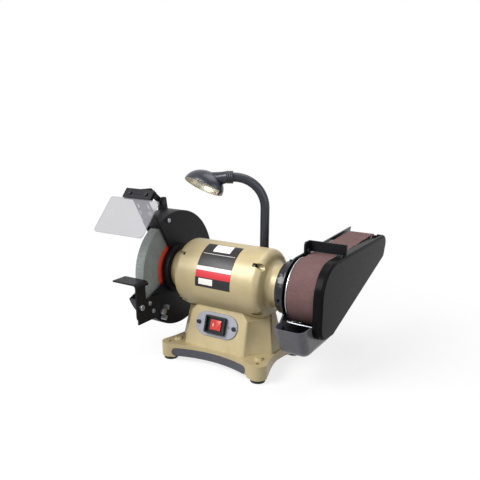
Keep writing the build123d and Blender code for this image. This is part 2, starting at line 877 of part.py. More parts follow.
with BuildPart() as motor_screws:
    for seam, outward in ((barrel_left, -1), (barrel_right, 1)):
        floor = seam + outward * (bell_rim - pocket_depth)
        with BuildSketch(side_plane(floor)):
            with PolarLocations(bolt_circle, bolt_count, bolt_first_angle):
                Circle(bolt_head_radius)
        extrude(amount=outward * bolt_head)
        with BuildSketch(side_plane(floor)):
            with PolarLocations(bolt_circle, bolt_count, bolt_first_angle):
                Circle(bolt_radius)
        extrude(amount=-outward * (bell_rim - pocket_depth + bolt_thread))
        with BuildSketch(side_plane(floor + outward * bolt_head)):
            with PolarLocations(bolt_circle, bolt_count, bolt_first_angle):
                RegularPolygon(bolt_radius, 6)
        extrude(amount=-outward * bolt_socket, mode=Mode.SUBTRACT)
save(motor_screws, "motor_screws")

core_left = motor_center - stator_length / 2
core_right = motor_center + stator_length / 2

with BuildPart() as stator_core:
    with BuildSketch(side_plane(core_left)):
        Circle(barrel_bore - seat_gap)
        Circle(stator_bore, mode=Mode.SUBTRACT)
        with PolarLocations(stator_bore + slot_lip + slot_depth / 2, stator_slots):
            Rectangle(slot_depth, slot_width, mode=Mode.SUBTRACT)
    extrude(amount=stator_length)
save(stator_core, "stator_core")

with BuildPart() as stator_windings:
    for end, outward in ((core_left, -1), (core_right, 1)):
        with BuildSketch(shaft_section):
            with Locations((end + outward * winding_reach / 2,
                            stator_bore + slot_lip + winding_wall / 2)):
                RectangleRounded(winding_reach, winding_wall, winding_reach / 3)
        revolve(axis=shaft_axis)
save(stator_windings, "stator_windings")

bearing_left = nose_end_left + bearing_inset
bearing_right = nose_end_right - bearing_inset - bearing_width
seal_radius = journal_radius + race_wall + slide_gap

with BuildPart() as bearing_outer_races:
    for start in (bearing_left, bearing_right):
        end = start + bearing_width
        with BuildSketch(shaft_section):
            with BuildLine():
                Polyline((start, seal_radius), (start, bearing_radius), (end, bearing_radius),
                         (end, seal_radius), (end - slot_lip, seal_radius),
                         (end - slot_lip, bearing_radius - race_wall),
                         (start + slot_lip, bearing_radius - race_wall),
                         (start + slot_lip, seal_radius), close=True)
            make_face()
        revolve(axis=shaft_axis)
save(bearing_outer_races, "bearing_outer_races")

with BuildPart() as bearing_inner_races:
    for start in (bearing_left, bearing_right):
        with BuildSketch(side_plane(start)):
            Circle(journal_radius + race_wall)
            Circle(journal_radius + flat_gap, mode=Mode.SUBTRACT)
        extrude(amount=bearing_width)
save(bearing_inner_races, "bearing_inner_races")

shoulder_left = nose_end_left - shoulder_gap
shoulder_right = nose_end_right + shoulder_gap
flange_inner = wheel_inner_face + blotter_thickness
flange_outer = wheel_outer_face - blotter_thickness
drum_hub_end = shoulder_right + drum_hub_length
shaft_end_left = flange_outer - flange_thickness - nut_height - shaft_proud
shaft_end_right = drum_hub_end + nut_height + shaft_proud

with BuildPart() as arbor_shaft:
    with BuildSketch(shaft_section):
        with BuildLine():
            Polyline((shaft_end_left, 0), (shaft_end_left, arbor_radius - shaft_chamfer),
                     (shaft_end_left + shaft_chamfer, arbor_radius), (shoulder_left, arbor_radius),
                     (shoulder_left, journal_radius), (bearing_left + bearing_width, journal_radius),
                     (bearing_left + bearing_width, core_shaft_radius),
                     (bearing_right, core_shaft_radius), (bearing_right, journal_radius),
                     (shoulder_right, journal_radius), (shoulder_right, arbor_radius),
                     (shaft_end_right - shaft_chamfer, arbor_radius),
                     (shaft_end_right, arbor_radius - shaft_chamfer), (shaft_end_right, 0), close=True)
        make_face()
    revolve(axis=shaft_axis)
save(arbor_shaft, "arbor_shaft")

with BuildPart() as rotor_core:
    with BuildSketch(side_plane(core_left - end_ring)):
        Circle(stator_bore - air_gap)
        Circle(stator_bore - air_gap - end_ring_wall, mode=Mode.SUBTRACT)
    extrude(amount=stator_length + 2 * end_ring)
    with BuildSketch(side_plane(core_left)):
        Circle(stator_bore - air_gap)
        Circle(core_shaft_radius + flat_gap, mode=Mode.SUBTRACT)
    extrude(amount=stator_length)
save(rotor_core, "rotor_core")

with BuildPart() as rating_label:
    with BuildSketch(side_plane(label_left)):
        with BuildLine():
            inner = barrel_radius + seat_gap
            outer = inner + label_thickness
            low = radians(180 - label_low_angle)
            high = radians(180 - label_high_angle)
            mid = (low + high) / 2
            ThreePointArc(*[(inner * cos(a), inner * sin(a)) for a in (low, mid, high)])
            ThreePointArc(*[(outer * cos(a), outer * sin(a)) for a in (low, mid, high)])
            for a in (low, high):
                Line((inner * cos(a), inner * sin(a)), (outer * cos(a), outer * sin(a)))
        make_face()
    extrude(amount=label_width)
save(rating_label, "rating_label")


# Grinding wheel on the left arbor
with BuildPart() as grinding_wheel:
    with BuildSketch(side_plane(wheel_outer_face)):
        Circle(wheel_radius)
        Circle(arbor_radius + flat_gap, mode=Mode.SUBTRACT)
    extrude(amount=wheel_width)
    chamfer(grinding_wheel.edges().filter_by(GeomType.CIRCLE).sort_by(SortBy.RADIUS)[-2:], shaft_chamfer)
save(grinding_wheel, "grinding_wheel")

with BuildPart() as wheel_blotters:
    for face, outward in ((wheel_outer_face, -1), (wheel_inner_face, 1)):
        with BuildSketch(side_plane(face)):
            Circle(blotter_radius)
            Circle(arbor_radius + flat_gap, mode=Mode.SUBTRACT)
        extrude(amount=outward * blotter_thickness)
save(wheel_blotters, "wheel_blotters")

with BuildPart() as wheel_flanges:
    for face, outward in ((flange_outer, -1), (flange_inner, 1)):
        with BuildSketch(side_plane(face)):
            Circle(flange_radius)
        extrude(amount=outward * flange_thickness)
    with BuildSketch(side_plane(flange_inner)):
        Circle(flange_hub_radius)
    extrude(amount=shoulder_left - flange_inner)
    with BuildSketch(side_plane(flange_outer - flange_thickness)):
        Circle(arbor_radius + flat_gap)
    extrude(amount=shoulder_left - flange_outer + flange_thickness, mode=Mode.SUBTRACT)
save(wheel_flanges, "wheel_flanges")

with BuildPart() as arbor_nuts:
    for face, outward in ((flange_outer - flange_thickness, -1), (drum_hub_end, 1)):
        with BuildSketch(side_plane(face)):
            RegularPolygon(nut_flats / 2, 6, major_radius=False)
            Circle(arbor_radius + flat_gap, mode=Mode.SUBTRACT)
        extrude(amount=outward * nut_height)
save(arbor_nuts, "arbor_nuts")


# Wheel guard: stamped drum with its hub collar, outer cover and fastenings
def opening_sector():
    """Front opening of the guard, as a sector that leaves the hub whole."""
    reach = 2 * guard_radius
    top = radians(180 - opening_top_angle)
    low = radians(180 + opening_low_angle)
    with BuildSketch() as sector:
        with BuildLine():
            Polyline((0, 0), (reach * cos(top), reach * sin(top)), (-2 * reach, reach * sin(top)),
                     (-2 * reach, reach * sin(low)), (reach * cos(low), reach * sin(low)), close=True)
        make_face()
        Circle(hub_radius, mode=Mode.SUBTRACT)
    return sector.sketch


boss_circle = guard_radius - guard_wall - cover_boss_radius + shaft_chamfer
boss_places = [(boss_circle * cos(radians(a)), boss_circle * sin(radians(a))) for a in cover_boss_angles]
radial = (0, -cos(radians(opening_top_angle)), sin(radians(opening_top_angle)))
tangent = (0, -sin(radians(opening_top_angle)), -cos(radians(opening_top_angle)))
arrestor_plane = Plane(origin=(wheel_middle, 0, shaft_height), x_dir=radial, z_dir=tangent)
arrestor_bolts = [(arrestor_bolt_reach, sign * arrestor_slot_spacing / 2) for sign in (-1, 1)]
rest_plane = guard_plate_out + rest_thickness
post_out = guard_cover_out - post_thickness

with BuildPart() as guard_drum:
    with BuildSketch(side_plane(guard_plate_in)):
        Circle(guard_radius)
    extrude(amount=guard_plate)
    with BuildSketch(side_plane(guard_cover_in)):
        Circle(guard_radius)
        Circle(guard_radius - guard_wall, mode=Mode.SUBTRACT)
    extrude(amount=guard_depth)
    with BuildSketch(side_plane(guard_cover_in)):
        with Locations(*boss_places):
            Circle(cover_boss_radius)
    extrude(amount=cover_boss_length)
    with BuildSketch(side_plane(guard_cover_in)):
        add(opening_sector())
    extrude(amount=guard_depth + guard_plate, mode=Mode.SUBTRACT)
    with BuildSketch(side_plane(guard_plate_out)):
        Circle(hub_radius)
        Circle(nose_radius + seat_gap, mode=Mode.SUBTRACT)
    extrude(amount=collar_width)
    with BuildSketch(arrestor_plane):
        with Locations(((wheel_radius + arrestor_gap + tab_reach) / 2,
                        wheel_middle - guard_plate_in + guard_depth / 2)):
            Rectangle(tab_reach - wheel_radius - arrestor_gap, guard_depth)
    extrude(amount=-tab_thickness)
    with BuildSketch(arrestor_plane):
        with Locations(*arrestor_bolts):
            Circle(arrestor_slot_radius - slide_gap)
    extrude(amount=-tab_thickness, mode=Mode.SUBTRACT)
    with BuildSketch(side_plane(guard_cover_in)):
        with Locations(*boss_places):
            Circle(guard_cover_screw_radius)
    extrude(amount=cover_boss_length, mode=Mode.SUBTRACT)
    with BuildSketch(side_plane(guard_plate_in)):
        Circle(guard_bore)
        with Locations(plate_screw, *bracket_screw_places):
            Circle(frame_screw_radius)
        with Locations((wing_y, wing_height)):
            Circle(rest_bolt_radius + run_gap)
    extrude(amount=guard_plate, mode=Mode.SUBTRACT)
    with BuildSketch(side_plane(guard_plate_in)):
        with PolarLocations(guard_screw_circle, guard_screw_count, guard_screw_angle):
            Circle(guard_screw_radius)
    extrude(amount=guard_plate, mode=Mode.SUBTRACT)
    with BuildSketch(side_plane(guard_plate_in)):
        with PolarLocations(guard_screw_circle, guard_screw_count, guard_screw_angle):
            Circle(guard_screw_head)
    extrude(amount=guard_screw_head - guard_screw_radius, taper=45, mode=Mode.SUBTRACT)
save(guard_drum, "guard_drum")

with BuildPart() as guard_cover:
    with BuildSketch(shaft_section):
        with BuildLine():
            dish = guard_cover_in - dish_depth
            Polyline((guard_cover_in, guard_radius), (guard_cover_in, dish_base_radius),
                     (dish, dish_radius), (dish, 0), (dish - guard_wall, 0),
                     (dish - guard_wall, dish_radius + guard_wall / 2),
                     (guard_cover_out, dish_base_radius + guard_wall / 2),
                     (guard_cover_out, guard_radius), close=True)
        make_face()
    revolve(axis=shaft_axis)
    with BuildSketch(side_plane(guard_cover_out)):
        add(opening_sector())
    extrude(amount=guard_wall, mode=Mode.SUBTRACT)
    with BuildSketch(side_plane(guard_cover_out)):
        with Locations(*boss_places):
            Circle(guard_cover_screw_radius)
        with Locations(*post_screws):
            Circle(frame_screw_radius)
    extrude(amount=guard_wall, mode=Mode.SUBTRACT)
save(guard_cover, "guard_cover")

with BuildPart() as guard_screws:
    with BuildSketch(side_plane(guard_plate_in)):
        with PolarLocations(guard_screw_circle, guard_screw_count, guard_screw_angle):
            Circle(guard_screw_head)
    extrude(amount=guard_screw_head - guard_screw_radius, taper=45)
    with BuildSketch(side_plane(guard_plate_in)):
        with PolarLocations(guard_screw_circle, guard_screw_count, guard_screw_angle):
            Circle(guard_screw_radius)
    extrude(amount=guard_screw_length)
    with BuildSketch(side_plane(guard_cover_out)):
        with Locations(*boss_places):
            Circle(guard_cover_screw_head)
    extrude(amount=-guard_wall)
    with BuildSketch(side_plane(guard_cover_out)):
        with Locations(*boss_places):
            Circle(guard_cover_screw_radius)
    extrude(amount=guard_wall + cover_boss_length)
    for places, face, end, outward in ((post_screws, post_out, guard_cover_in, -1),
                                       ((plate_screw,), guard_plate_out, guard_plate_in, 1),
                                       (bracket_screw_places, rest_plane, guard_plate_in, 1)):
        with BuildSketch(side_plane(face)):
            with Locations(*places):
                Circle(bracket_screw_head)
        extrude(amount=outward * guard_wall)
        with BuildSketch(side_plane(face)):
            with Locations(*places):
                Circle(frame_screw_radius)
        extrude(amount=end - face)
    with BuildSketch(arrestor_plane.offset(slide_gap + arrestor_thickness + slide_gap)):
        with Locations(*arrestor_bolts):
            Circle(2 * arrestor_slot_radius)
    extrude(amount=guard_wall)
    with BuildSketch(arrestor_plane.offset(slide_gap + arrestor_thickness + slide_gap)):
        with Locations(*arrestor_bolts):
            Circle(arrestor_slot_radius - slide_gap)
    extrude(amount=-arrestor_thickness - tab_thickness - 3 * guard_wall)
    rest_head = rest_plane + rest_thickness + 2 * slide_gap
    with BuildSketch(side_plane(rest_head)):
        with Locations((rest_bolt_y, rest_bolt_height)):
            Circle(rest_bolt_head)
    extrude(amount=rest_bolt_head_height)
    with BuildSketch(side_plane(rest_head)):
        with Locations((rest_bolt_y, rest_bolt_height)):
            Circle(rest_bolt_radius)
    extrude(amount=guard_plate_out - rest_head)
save(guard_screws, "guard_screws")

with BuildPart() as spark_arrestor:
    start = wheel_radius + arrestor_gap
    with BuildSketch(arrestor_plane.offset(slide_gap)):
        with Locations((start + arrestor_length / 2, 0)):
            Rectangle(arrestor_length, arrestor_width)
        with Locations(*[(start + arrestor_slot_start + arrestor_slot_length / 2, y)
                         for _, y in arrestor_bolts]):
            SlotCenterToCenter(arrestor_slot_length, 2 * arrestor_slot_radius, mode=Mode.SUBTRACT)
    extrude(amount=arrestor_thickness)
save(spark_arrestor, "spark_arrestor")


# Eye shield on its post
arm_in = post_out - slide_gap
arm_out = arm_in - shield_arm_thickness
lean_sin = sin(radians(shield_lean))
lean_cos = cos(radians(shield_lean))
shield_plane = Plane(origin=(wheel_middle - shield_shift, shield_top_y, shaft_height + shield_top_height),
                     x_dir=(1, 0, 0), z_dir=(0, -lean_cos, lean_sin))
strip_middle = (shield_top_y + strip_height / 2 * lean_sin,
                shield_top_height + strip_height / 2 * lean_cos)
strip_screws_at = [(strip_offset + sign * strip_screw_spacing / 2, strip_height / 2) for sign in (-1, 1)]

with BuildPart() as shield_post:
    with BuildSketch(side_plane(guard_cover_out)) as post_face:
        with BuildLine():
            Polyline(*post_corners, close=True)
        make_face()
        fillet(post_face.vertices(), post_corner)
        with Locations(pivot):
            Circle(shield_pin_radius + flat_gap, mode=Mode.SUBTRACT)
        with Locations(*post_screws):
            Circle(frame_screw_radius, mode=Mode.SUBTRACT)
    extrude(amount=-post_thickness)
save(shield_post, "shield_post")

with BuildPart() as shield_pin:
    with BuildSketch(side_plane(guard_cover_out)):
        with Locations(pivot):
            Circle(shield_pin_radius)
    extrude(amount=arm_out - guard_cover_out - shield_nut_height - 2 * slide_gap)
    with BuildSketch(side_plane(guard_cover_out)):
        with Locations(pivot):
            Circle(2 * shield_pin_radius)
    extrude(amount=shield_nut_height / 2)
    with BuildSketch(side_plane(arm_out - slide_gap)):
        with Locations(pivot):
            RegularPolygon(shield_nut_flats / 2, 6, major_radius=False)
    extrude(amount=-shield_nut_height)
save(shield_pin, "shield_pin")

with BuildPart() as shield_arm:
    with BuildSketch(side_plane(arm_in)):
        for start, end in ((pivot, arm_knee), (arm_knee, strip_middle)):
            span = Vector(end[0] - start[0], end[1] - start[1])
            with Locations(((start[0] + end[0]) / 2, (start[1] + end[1]) / 2)):
                SlotCenterToCenter(span.length, shield_arm_width, rotation=degrees(atan2(span.Y, span.X)))
        with Locations(pivot):
            Circle(shield_pin_radius + run_gap, mode=Mode.SUBTRACT)
    extrude(amount=-shield_arm_thickness)
    split(bisect_by=shield_plane, keep=Keep.BOTTOM)
    with BuildSketch(shield_plane):
        with Locations((strip_offset, strip_height / 2)):
            Rectangle(strip_length, strip_height)
        with Locations(*strip_screws_at):
            Circle(strip_screw_radius + flat_gap, mode=Mode.SUBTRACT)
    extrude(amount=-strip_thickness)
save(shield_arm, "shield_arm")

with BuildPart() as eye_shield:
    with BuildSketch(shield_plane):
        with Locations((0, -shield_length / 2)):
            RectangleRounded(shield_width, shield_length, shield_corner)
        with Locations((strip_offset, strip_height / 2 - shield_thickness)):
            Rectangle(strip_length - 2 * shield_thickness, strip_height + 2 * shield_thickness)
        with Locations((strip_offset, strip_height + shield_thickness)):
            Rectangle(strip_length, 2 * shield_thickness, mode=Mode.SUBTRACT)
        with Locations(*strip_screws_at):
            Circle(strip_screw_radius + flat_gap, mode=Mode.SUBTRACT)
    extrude(amount=shield_thickness)
save(eye_shield, "eye_shield")

with BuildPart() as shield_strip:
    with BuildSketch(shield_plane.offset(shield_thickness)):
        with Locations((strip_offset, strip_height / 2)):
            Rectangle(strip_length, strip_height)
        with Locations(*strip_screws_at):
            Circle(strip_screw_radius + flat_gap, mode=Mode.SUBTRACT)
    extrude(amount=strip_thickness)
save(shield_strip, "shield_strip")

with BuildPart() as strip_screws:
    with BuildSketch(shield_plane.offset(shield_thickness + strip_thickness)):
        with Locations(*strip_screws_at):
            Circle(strip_screw_head)
    extrude(amount=strip_screw_radius)
    with BuildSketch(shield_plane.offset(shield_thickness + strip_thickness)):
        with Locations(*strip_screws_at):
            Circle(strip_screw_radius)
    extrude(amount=-shield_thickness - 3 * strip_thickness)
    with BuildSketch(shield_plane.offset(-strip_thickness)):
        with Locations(*strip_screws_at):
            RegularPolygon(strip_screw_head, 6)
    extrude(amount=-strip_thickness)
save(strip_screws, "strip_screws")


# Tool rest, its bracket on the guard and the wing nut
leg_left = rest_plane + slide_gap
leg_right = leg_left + rest_thickness
rest_left = wheel_outer_face - rest_overhang
table_back = -wheel_radius - rest_wheel_gap
leg_back = table_back - rest_leg_inset
leg_middle = (rest_front + leg_back) / 2
leg_half = (leg_back - rest_front) / 2
slot_middle = rest_bolt_y + (rest_slot_away - rest_slot_toward) / 2

with BuildPart() as tool_rest:
    with BuildSketch(Plane.XZ.offset(-table_back)):
        with BuildLine():
            top = shaft_height + rest_top
            under = top - rest_thickness
            corner = (leg_right - rest_bend, top - rest_bend)
            inner_bend = rest_bend - rest_thickness
            Polyline((corner[0], under), (rest_left, under), (rest_left, top), (corner[0], top))
            ThreePointArc((corner[0], top), (corner[0] + rest_bend * sin(pi / 4),
                                             corner[1] + rest_bend * sin(pi / 4)), (leg_right, corner[1]))
            Line((leg_right, corner[1]), (leg_left, corner[1]))
            ThreePointArc((leg_left, corner[1]), (corner[0] + inner_bend * sin(pi / 4),
                                                  corner[1] + inner_bend * sin(pi / 4)), (corner[0], under))
        make_face()
    extrude(amount=table_back - rest_front)
    with BuildSketch(side_plane(leg_left)):
        with Locations((leg_middle, (rest_foot_height + rest_top - rest_bend) / 2)):
            Rectangle(2 * leg_half, rest_top - rest_bend - rest_foot_height)
        with Locations((leg_middle, rest_foot_height)):
            Circle(leg_half)
        with Locations((slot_middle, rest_bolt_height)):
            SlotCenterToCenter(rest_slot_away + rest_slot_toward, 2 * (rest_bolt_radius + part_gap),
                               mode=Mode.SUBTRACT)
    extrude(amount=rest_thickness)
save(tool_rest, "tool_rest")

with BuildPart() as rest_bracket:
    with BuildSketch(side_plane(guard_plate_out)) as bracket_face:
        with Locations(((bracket_front + bracket_back) / 2, (bracket_top + bracket_bottom) / 2)):
            Rectangle(bracket_back - bracket_front, bracket_top - bracket_bottom)
        chin = bracket_face.vertices().sort_by_distance((bracket_front, bracket_bottom))[0]
        rest_corners = bracket_face.vertices().sort_by_distance((bracket_front, bracket_bottom))[1:]
        fillet(rest_corners, bracket_corner)
        fillet(chin, bracket_chin)
        with Locations(*bracket_screw_places):
            Circle(frame_screw_radius, mode=Mode.SUBTRACT)
        with Locations((rest_bolt_y, rest_bolt_height)):
            Circle(rest_bolt_radius, mode=Mode.SUBTRACT)
        with Locations((wing_y, wing_height)):
            Circle(rest_bolt_radius + run_gap, mode=Mode.SUBTRACT)
    extrude(amount=rest_thickness)
save(rest_bracket, "rest_bracket")

with BuildPart() as wing_nut:
    with BuildSketch(side_plane(leg_left)):
        with Locations((wing_y, wing_height)):
            Circle(wing_hub_radius)
    extrude(amount=wing_hub)
    with BuildSketch(side_plane(leg_left + wing_hub / 3)):
        with Locations((wing_y, wing_height)):
            SlotOverall(2 * wing_span, wing_thickness, rotation=90 - opening_low_angle)
    extrude(amount=wing_rise)
    with BuildSketch(side_plane(leg_left + wing_hub)):
        with Locations((wing_y, wing_height)):
            Circle(wing_hub_radius)
    extrude(amount=wing_rise, mode=Mode.SUBTRACT)
    with BuildSketch(side_plane(leg_left)):
        with Locations((wing_y, wing_height)):
            Circle(rest_bolt_radius)
    extrude(amount=guard_plate_in - shaft_chamfer - leg_left)
save(wing_nut, "wing_nut")


# Belt sander: drum, belt, idler and the swinging arm that carries them
belt_middle = belt_thickness / 2
straight_share = belt_length - pi * (belt_bore + idler_belt_bore + 2 * belt_middle)
pulley_step = belt_bore - idler_belt_bore
center_distance = (straight_share + sqrt(straight_share ** 2 - 8 * pulley_step ** 2)) / 4
along = Vector(cos(radians(arm_rise)), sin(radians(arm_rise)))
across = Vector(-along.Y, along.X)
closing = asin(pulley_step / center_distance)
upper_normal = along * sin(closing) + across * cos(closing)
upper_run = along * cos(closing) - across * sin(closing)
lower_normal = along * sin(closing) - across * cos(closing)
idler_place = along * center_distance
idler_at = (idler_place.X, idler_place.Y)


def belt_loop(margin):
    """Outline round drum and idler, grown outwards from the belt's inner face by margin."""
    drum_r = belt_bore + margin
    idler_r = idler_belt_bore + margin
    upper_drum = upper_normal * drum_r
    upper_idler = idler_place + upper_normal * idler_r
    lower_drum = lower_normal * drum_r
    lower_idler = idler_place + lower_normal * idler_r
    with BuildSketch() as loop:
        with BuildLine():
            Line(upper_drum, upper_idler)
            ThreePointArc(upper_idler, idler_place + along * idler_r, lower_idler)
            Line(lower_idler, lower_drum)
            ThreePointArc(lower_drum, along * -drum_r, upper_drum)
        make_face()
    return loop.sketch


def arm_plane(x):
    """Plane across the shaft at x, turned so that its first axis runs along the sander arm."""
    return Plane(origin=(x, 0, shaft_height), x_dir=(0, along.X, along.Y), z_dir=(1, 0, 0))


with BuildPart() as drive_drum:
    with BuildSketch(side_plane(belt_left - drum_overhang)):
        Circle(drum_radius)
        Circle(drum_radius - drum_wall, mode=Mode.SUBTRACT)
    extrude(amount=belt_width + 2 * drum_overhang)
    with BuildSketch(side_plane(belt_left - part_gap)):
        Circle(belt_bore + belt_thickness + drum_flange_rise)
        Circle(drum_radius - drum_wall, mode=Mode.SUBTRACT)
    extrude(amount=-drum_flange)
    with BuildSketch(side_plane((belt_left + belt_right - drum_web) / 2)):
        Circle(drum_radius - drum_wall)
    extrude(amount=drum_web)
    with BuildSketch(side_plane(shoulder_right)):
        Circle(drum_hub_radius)
    extrude(amount=drum_hub_length)
    with BuildSketch(side_plane(shoulder_right)):
        Circle(arbor_radius + flat_gap)
    extrude(amount=drum_hub_length, mode=Mode.SUBTRACT)
save(drive_drum, "drive_drum")

with BuildPart() as sanding_belt:
    with BuildSketch(side_plane(belt_left)):
        add(belt_loop(belt_thickness))
        add(belt_loop(0.0), mode=Mode.SUBTRACT)
    extrude(amount=belt_width)
save(sanding_belt, "sanding_belt")

with BuildPart() as idler_roller:
    with BuildSketch(side_plane(belt_left - drum_overhang)):
        with Locations(idler_at):
            Circle(idler_radius)
            Circle(idler_axle_radius + run_gap, mode=Mode.SUBTRACT)
    extrude(amount=belt_width + 2 * drum_overhang)
    with BuildSketch(side_plane(belt_right + drum_overhang)):
        with Locations(idler_at):
            Circle(idler_radius - idler_wall)
            Circle(2 * idler_axle_radius, mode=Mode.SUBTRACT)
    extrude(amount=-belt_width / 2, mode=Mode.SUBTRACT)
save(idler_roller, "idler_roller")

slide_left = frame_out + slide_gap
slide_right = slide_left + slide_thickness
axle_flange = 2 * idler_axle_radius
pin_far = center_distance - axle_flange - slide_travel - slide_pin_head - slide_spare
slide_pins = (pin_far - slide_pin_spacing, pin_far)
slide_start = slide_pins[0] - slide_lead
knob_along = pin_far - slide_pin_spacing / 2

with BuildPart() as tension_slide:
    with BuildSketch(arm_plane(slide_left)):
        with Locations(((slide_start + center_distance + slide_tail) / 2, 0)):
            RectangleRounded(center_distance + slide_tail - slide_start, slide_height, slide_height / 6)
        with Locations(*[(pin + slide_travel / 2, 0) for pin in slide_pins]):
            SlotCenterToCenter(slide_travel, 2 * (slide_pin_radius + part_gap), mode=Mode.SUBTRACT)
        with Locations((center_distance, 0)):
            Circle(idler_axle_radius + flat_gap, mode=Mode.SUBTRACT)
    extrude(amount=slide_thickness)
save(tension_slide, "tension_slide")

with BuildPart() as idler_axle:
    with BuildSketch(side_plane(slide_left)):
        with Locations(idler_at):
            Circle(idler_axle_radius)
    extrude(amount=belt_right + 3 * drum_overhang - slide_left)
    with BuildSketch(side_plane(slide_right)):
        with Locations(idler_at):
            Circle(axle_flange)
    extrude(amount=belt_left - drum_overhang - part_gap - slide_right)
    with BuildSketch(side_plane(belt_right + drum_overhang + part_gap)):
        with Locations(idler_at):
            Circle(axle_flange)
    extrude(amount=drum_overhang)
save(idler_axle, "idler_axle")

spring_x = slide_left + spring_radius + shaft_chamfer
spring_seat = slide_start - spring_length

with BuildPart() as tension_spring:
    with BuildSketch(Plane(origin=(spring_x, spring_seat * along.X, shaft_height + spring_seat * along.Y),
                           x_dir=(1, 0, 0), z_dir=(0, along.X, along.Y))):
        Circle(spring_radius)
        Circle(spring_radius - spring_wire, mode=Mode.SUBTRACT)
    extrude(amount=spring_length)
save(tension_spring, "tension_spring")

arm_collar_in = nose_end_right - arm_collar_reach
set_screw_x = nose_end_right - arm_collar_reach / 2
set_screw_reach = arm_collar_radius + set_screw_radius

with BuildPart() as arm_collar:
    with BuildSketch(side_plane(arm_collar_in)):
        Circle(arm_collar_radius)
        Circle(nose_radius + run_gap, mode=Mode.SUBTRACT)
    extrude(amount=frame_in - arm_collar_in)
    with BuildSketch(side_plane(frame_in)):
        with PolarLocations(frame_screw_circle, frame_screw_count, frame_screw_angle):
            Circle(frame_screw_radius)
    extrude(amount=arm_collar_in - frame_in + frame_plate, mode=Mode.SUBTRACT)
    for angle in set_screw_angles:
        with BuildSketch(Plane(origin=(set_screw_x, 0, shaft_height),
                               x_dir=(1, 0, 0), z_dir=(0, cos(radians(angle)), sin(radians(angle))))):
            Circle(set_screw_radius)
        extrude(amount=arm_collar_radius, mode=Mode.SUBTRACT)
save(arm_collar, "arm_collar")

wall_margin = belt_thickness + lower_wall_gap + lower_wall
work_ear_y = work_rest_y + work_rest_thickness - work_rest_ear / 2
belt_top = upper_normal.Y * (belt_bore + belt_thickness)
belt_top_y = upper_normal.X * (belt_bore + belt_thickness)
work_rest_low = belt_top + (work_rest_y - belt_top_y) * upper_run.Y / upper_run.X + work_rest_gap
work_bolt_height = work_rest_low + work_bolt_radius
work_bolt_at = (work_ear_y - work_rest_thickness / 2, work_bolt_height)


def lower_band():
    """Strip below the lower run of the belt, where the frame is flanged."""
    with BuildSketch() as band:
        add(belt_loop(wall_margin))
        with Locations(idler_at):
            Rectangle(4 * belt_length, belt_length, rotation=arm_rise, align=(Align.CENTER, Align.MIN),
                      mode=Mode.SUBTRACT)
        with Locations((work_rest_y, 0)):
            Rectangle(belt_length, belt_length, align=(Align.MAX, Align.CENTER), mode=Mode.SUBTRACT)
        with Locations((idler_at[0], 0)):
            Rectangle(belt_length, belt_length, align=(Align.MIN, Align.CENTER), mode=Mode.SUBTRACT)
    return band.sketch


with BuildPart() as sander_frame:
    with BuildSketch(side_plane(frame_in)):
        add(belt_loop(belt_thickness + frame_margin))
        add(lower_band())
        for place in tray_bolt_places:
            SlotCenterPoint((place[0] / 2, place[1] / 2), place, 2 * tray_lug_radius)
        with BuildLine():
            tip_half = idler_belt_bore + belt_thickness + frame_margin
            tip_top = idler_place + upper_normal * tip_half
            tip_low = idler_place - upper_normal * tip_half
            Polyline(tip_top, tip_top + upper_run * frame_tip, tip_low + upper_run * frame_tip / 2, tip_low,
                     close=True)
        make_face()
        Circle(frame_bore, mode=Mode.SUBTRACT)
        with PolarLocations(frame_screw_circle, frame_screw_count, frame_screw_angle):
            Circle(frame_screw_radius, mode=Mode.SUBTRACT)
        with Locations(*spacer_places, work_bolt_at, *tray_bolt_places):
            Circle(tray_bolt_radius, mode=Mode.SUBTRACT)
        with Locations((tray_rod_y, tray_rod_height)):
            Circle(tray_rod_radius + flat_gap, mode=Mode.SUBTRACT)
    extrude(amount=frame_plate)
    with BuildSketch(side_plane(frame_in)):
        add(lower_band())
        add(belt_loop(belt_thickness + lower_wall_gap), mode=Mode.SUBTRACT)
    extrude(amount=cover_inner - part_gap - frame_in)
    with BuildSketch(arm_plane(frame_out)):
        with Locations((spring_seat - lower_wall, 0)):
            Rectangle(2 * lower_wall, 2 * spring_radius + lower_wall)
    extrude(amount=2 * spring_radius + lower_wall)
    with BuildSketch(arm_plane(frame_in)):
        with Locations(*[(pin, 0) for pin in slide_pins]):
            Circle(slide_pin_radius + flat_gap)
        with Locations((knob_along, 0)):
            Circle(knob_stem + run_gap)
    extrude(amount=frame_plate, mode=Mode.SUBTRACT)
save(sander_frame, "sander_frame")

with BuildPart() as sander_spacers:
    with BuildSketch(side_plane(frame_out)):
        with Locations(*spacer_places):
            Circle(spacer_radius)
    extrude(amount=cover_face - cover_wall - frame_out)
    with BuildSketch(side_plane(frame_out)):
        with Locations(*spacer_places):
            Circle(spacer_screw_radius)
    extrude(amount=spacer_screw_length, mode=Mode.SUBTRACT)
save(sander_spacers, "sander_spacers")


stop_screw_x = (cover_inner + cover_face) / 2


def cover_outline():
    """Side outline of the sander's outer cover, with its five rounded corners."""
    corners = ((cover_front, cover_top), (cover_front, cover_chin), (cover_heel_y, cover_heel),
               (cover_knee_y, cover_knee), (cover_tip, cover_top))
    with BuildSketch() as outline:
        with BuildLine():
            Polyline(*corners, close=True)
        make_face()
        for corner, radius in zip(corners, cover_corners):
            fillet(outline.vertices().sort_by_distance(corner)[0], radius)
    return outline.sketch


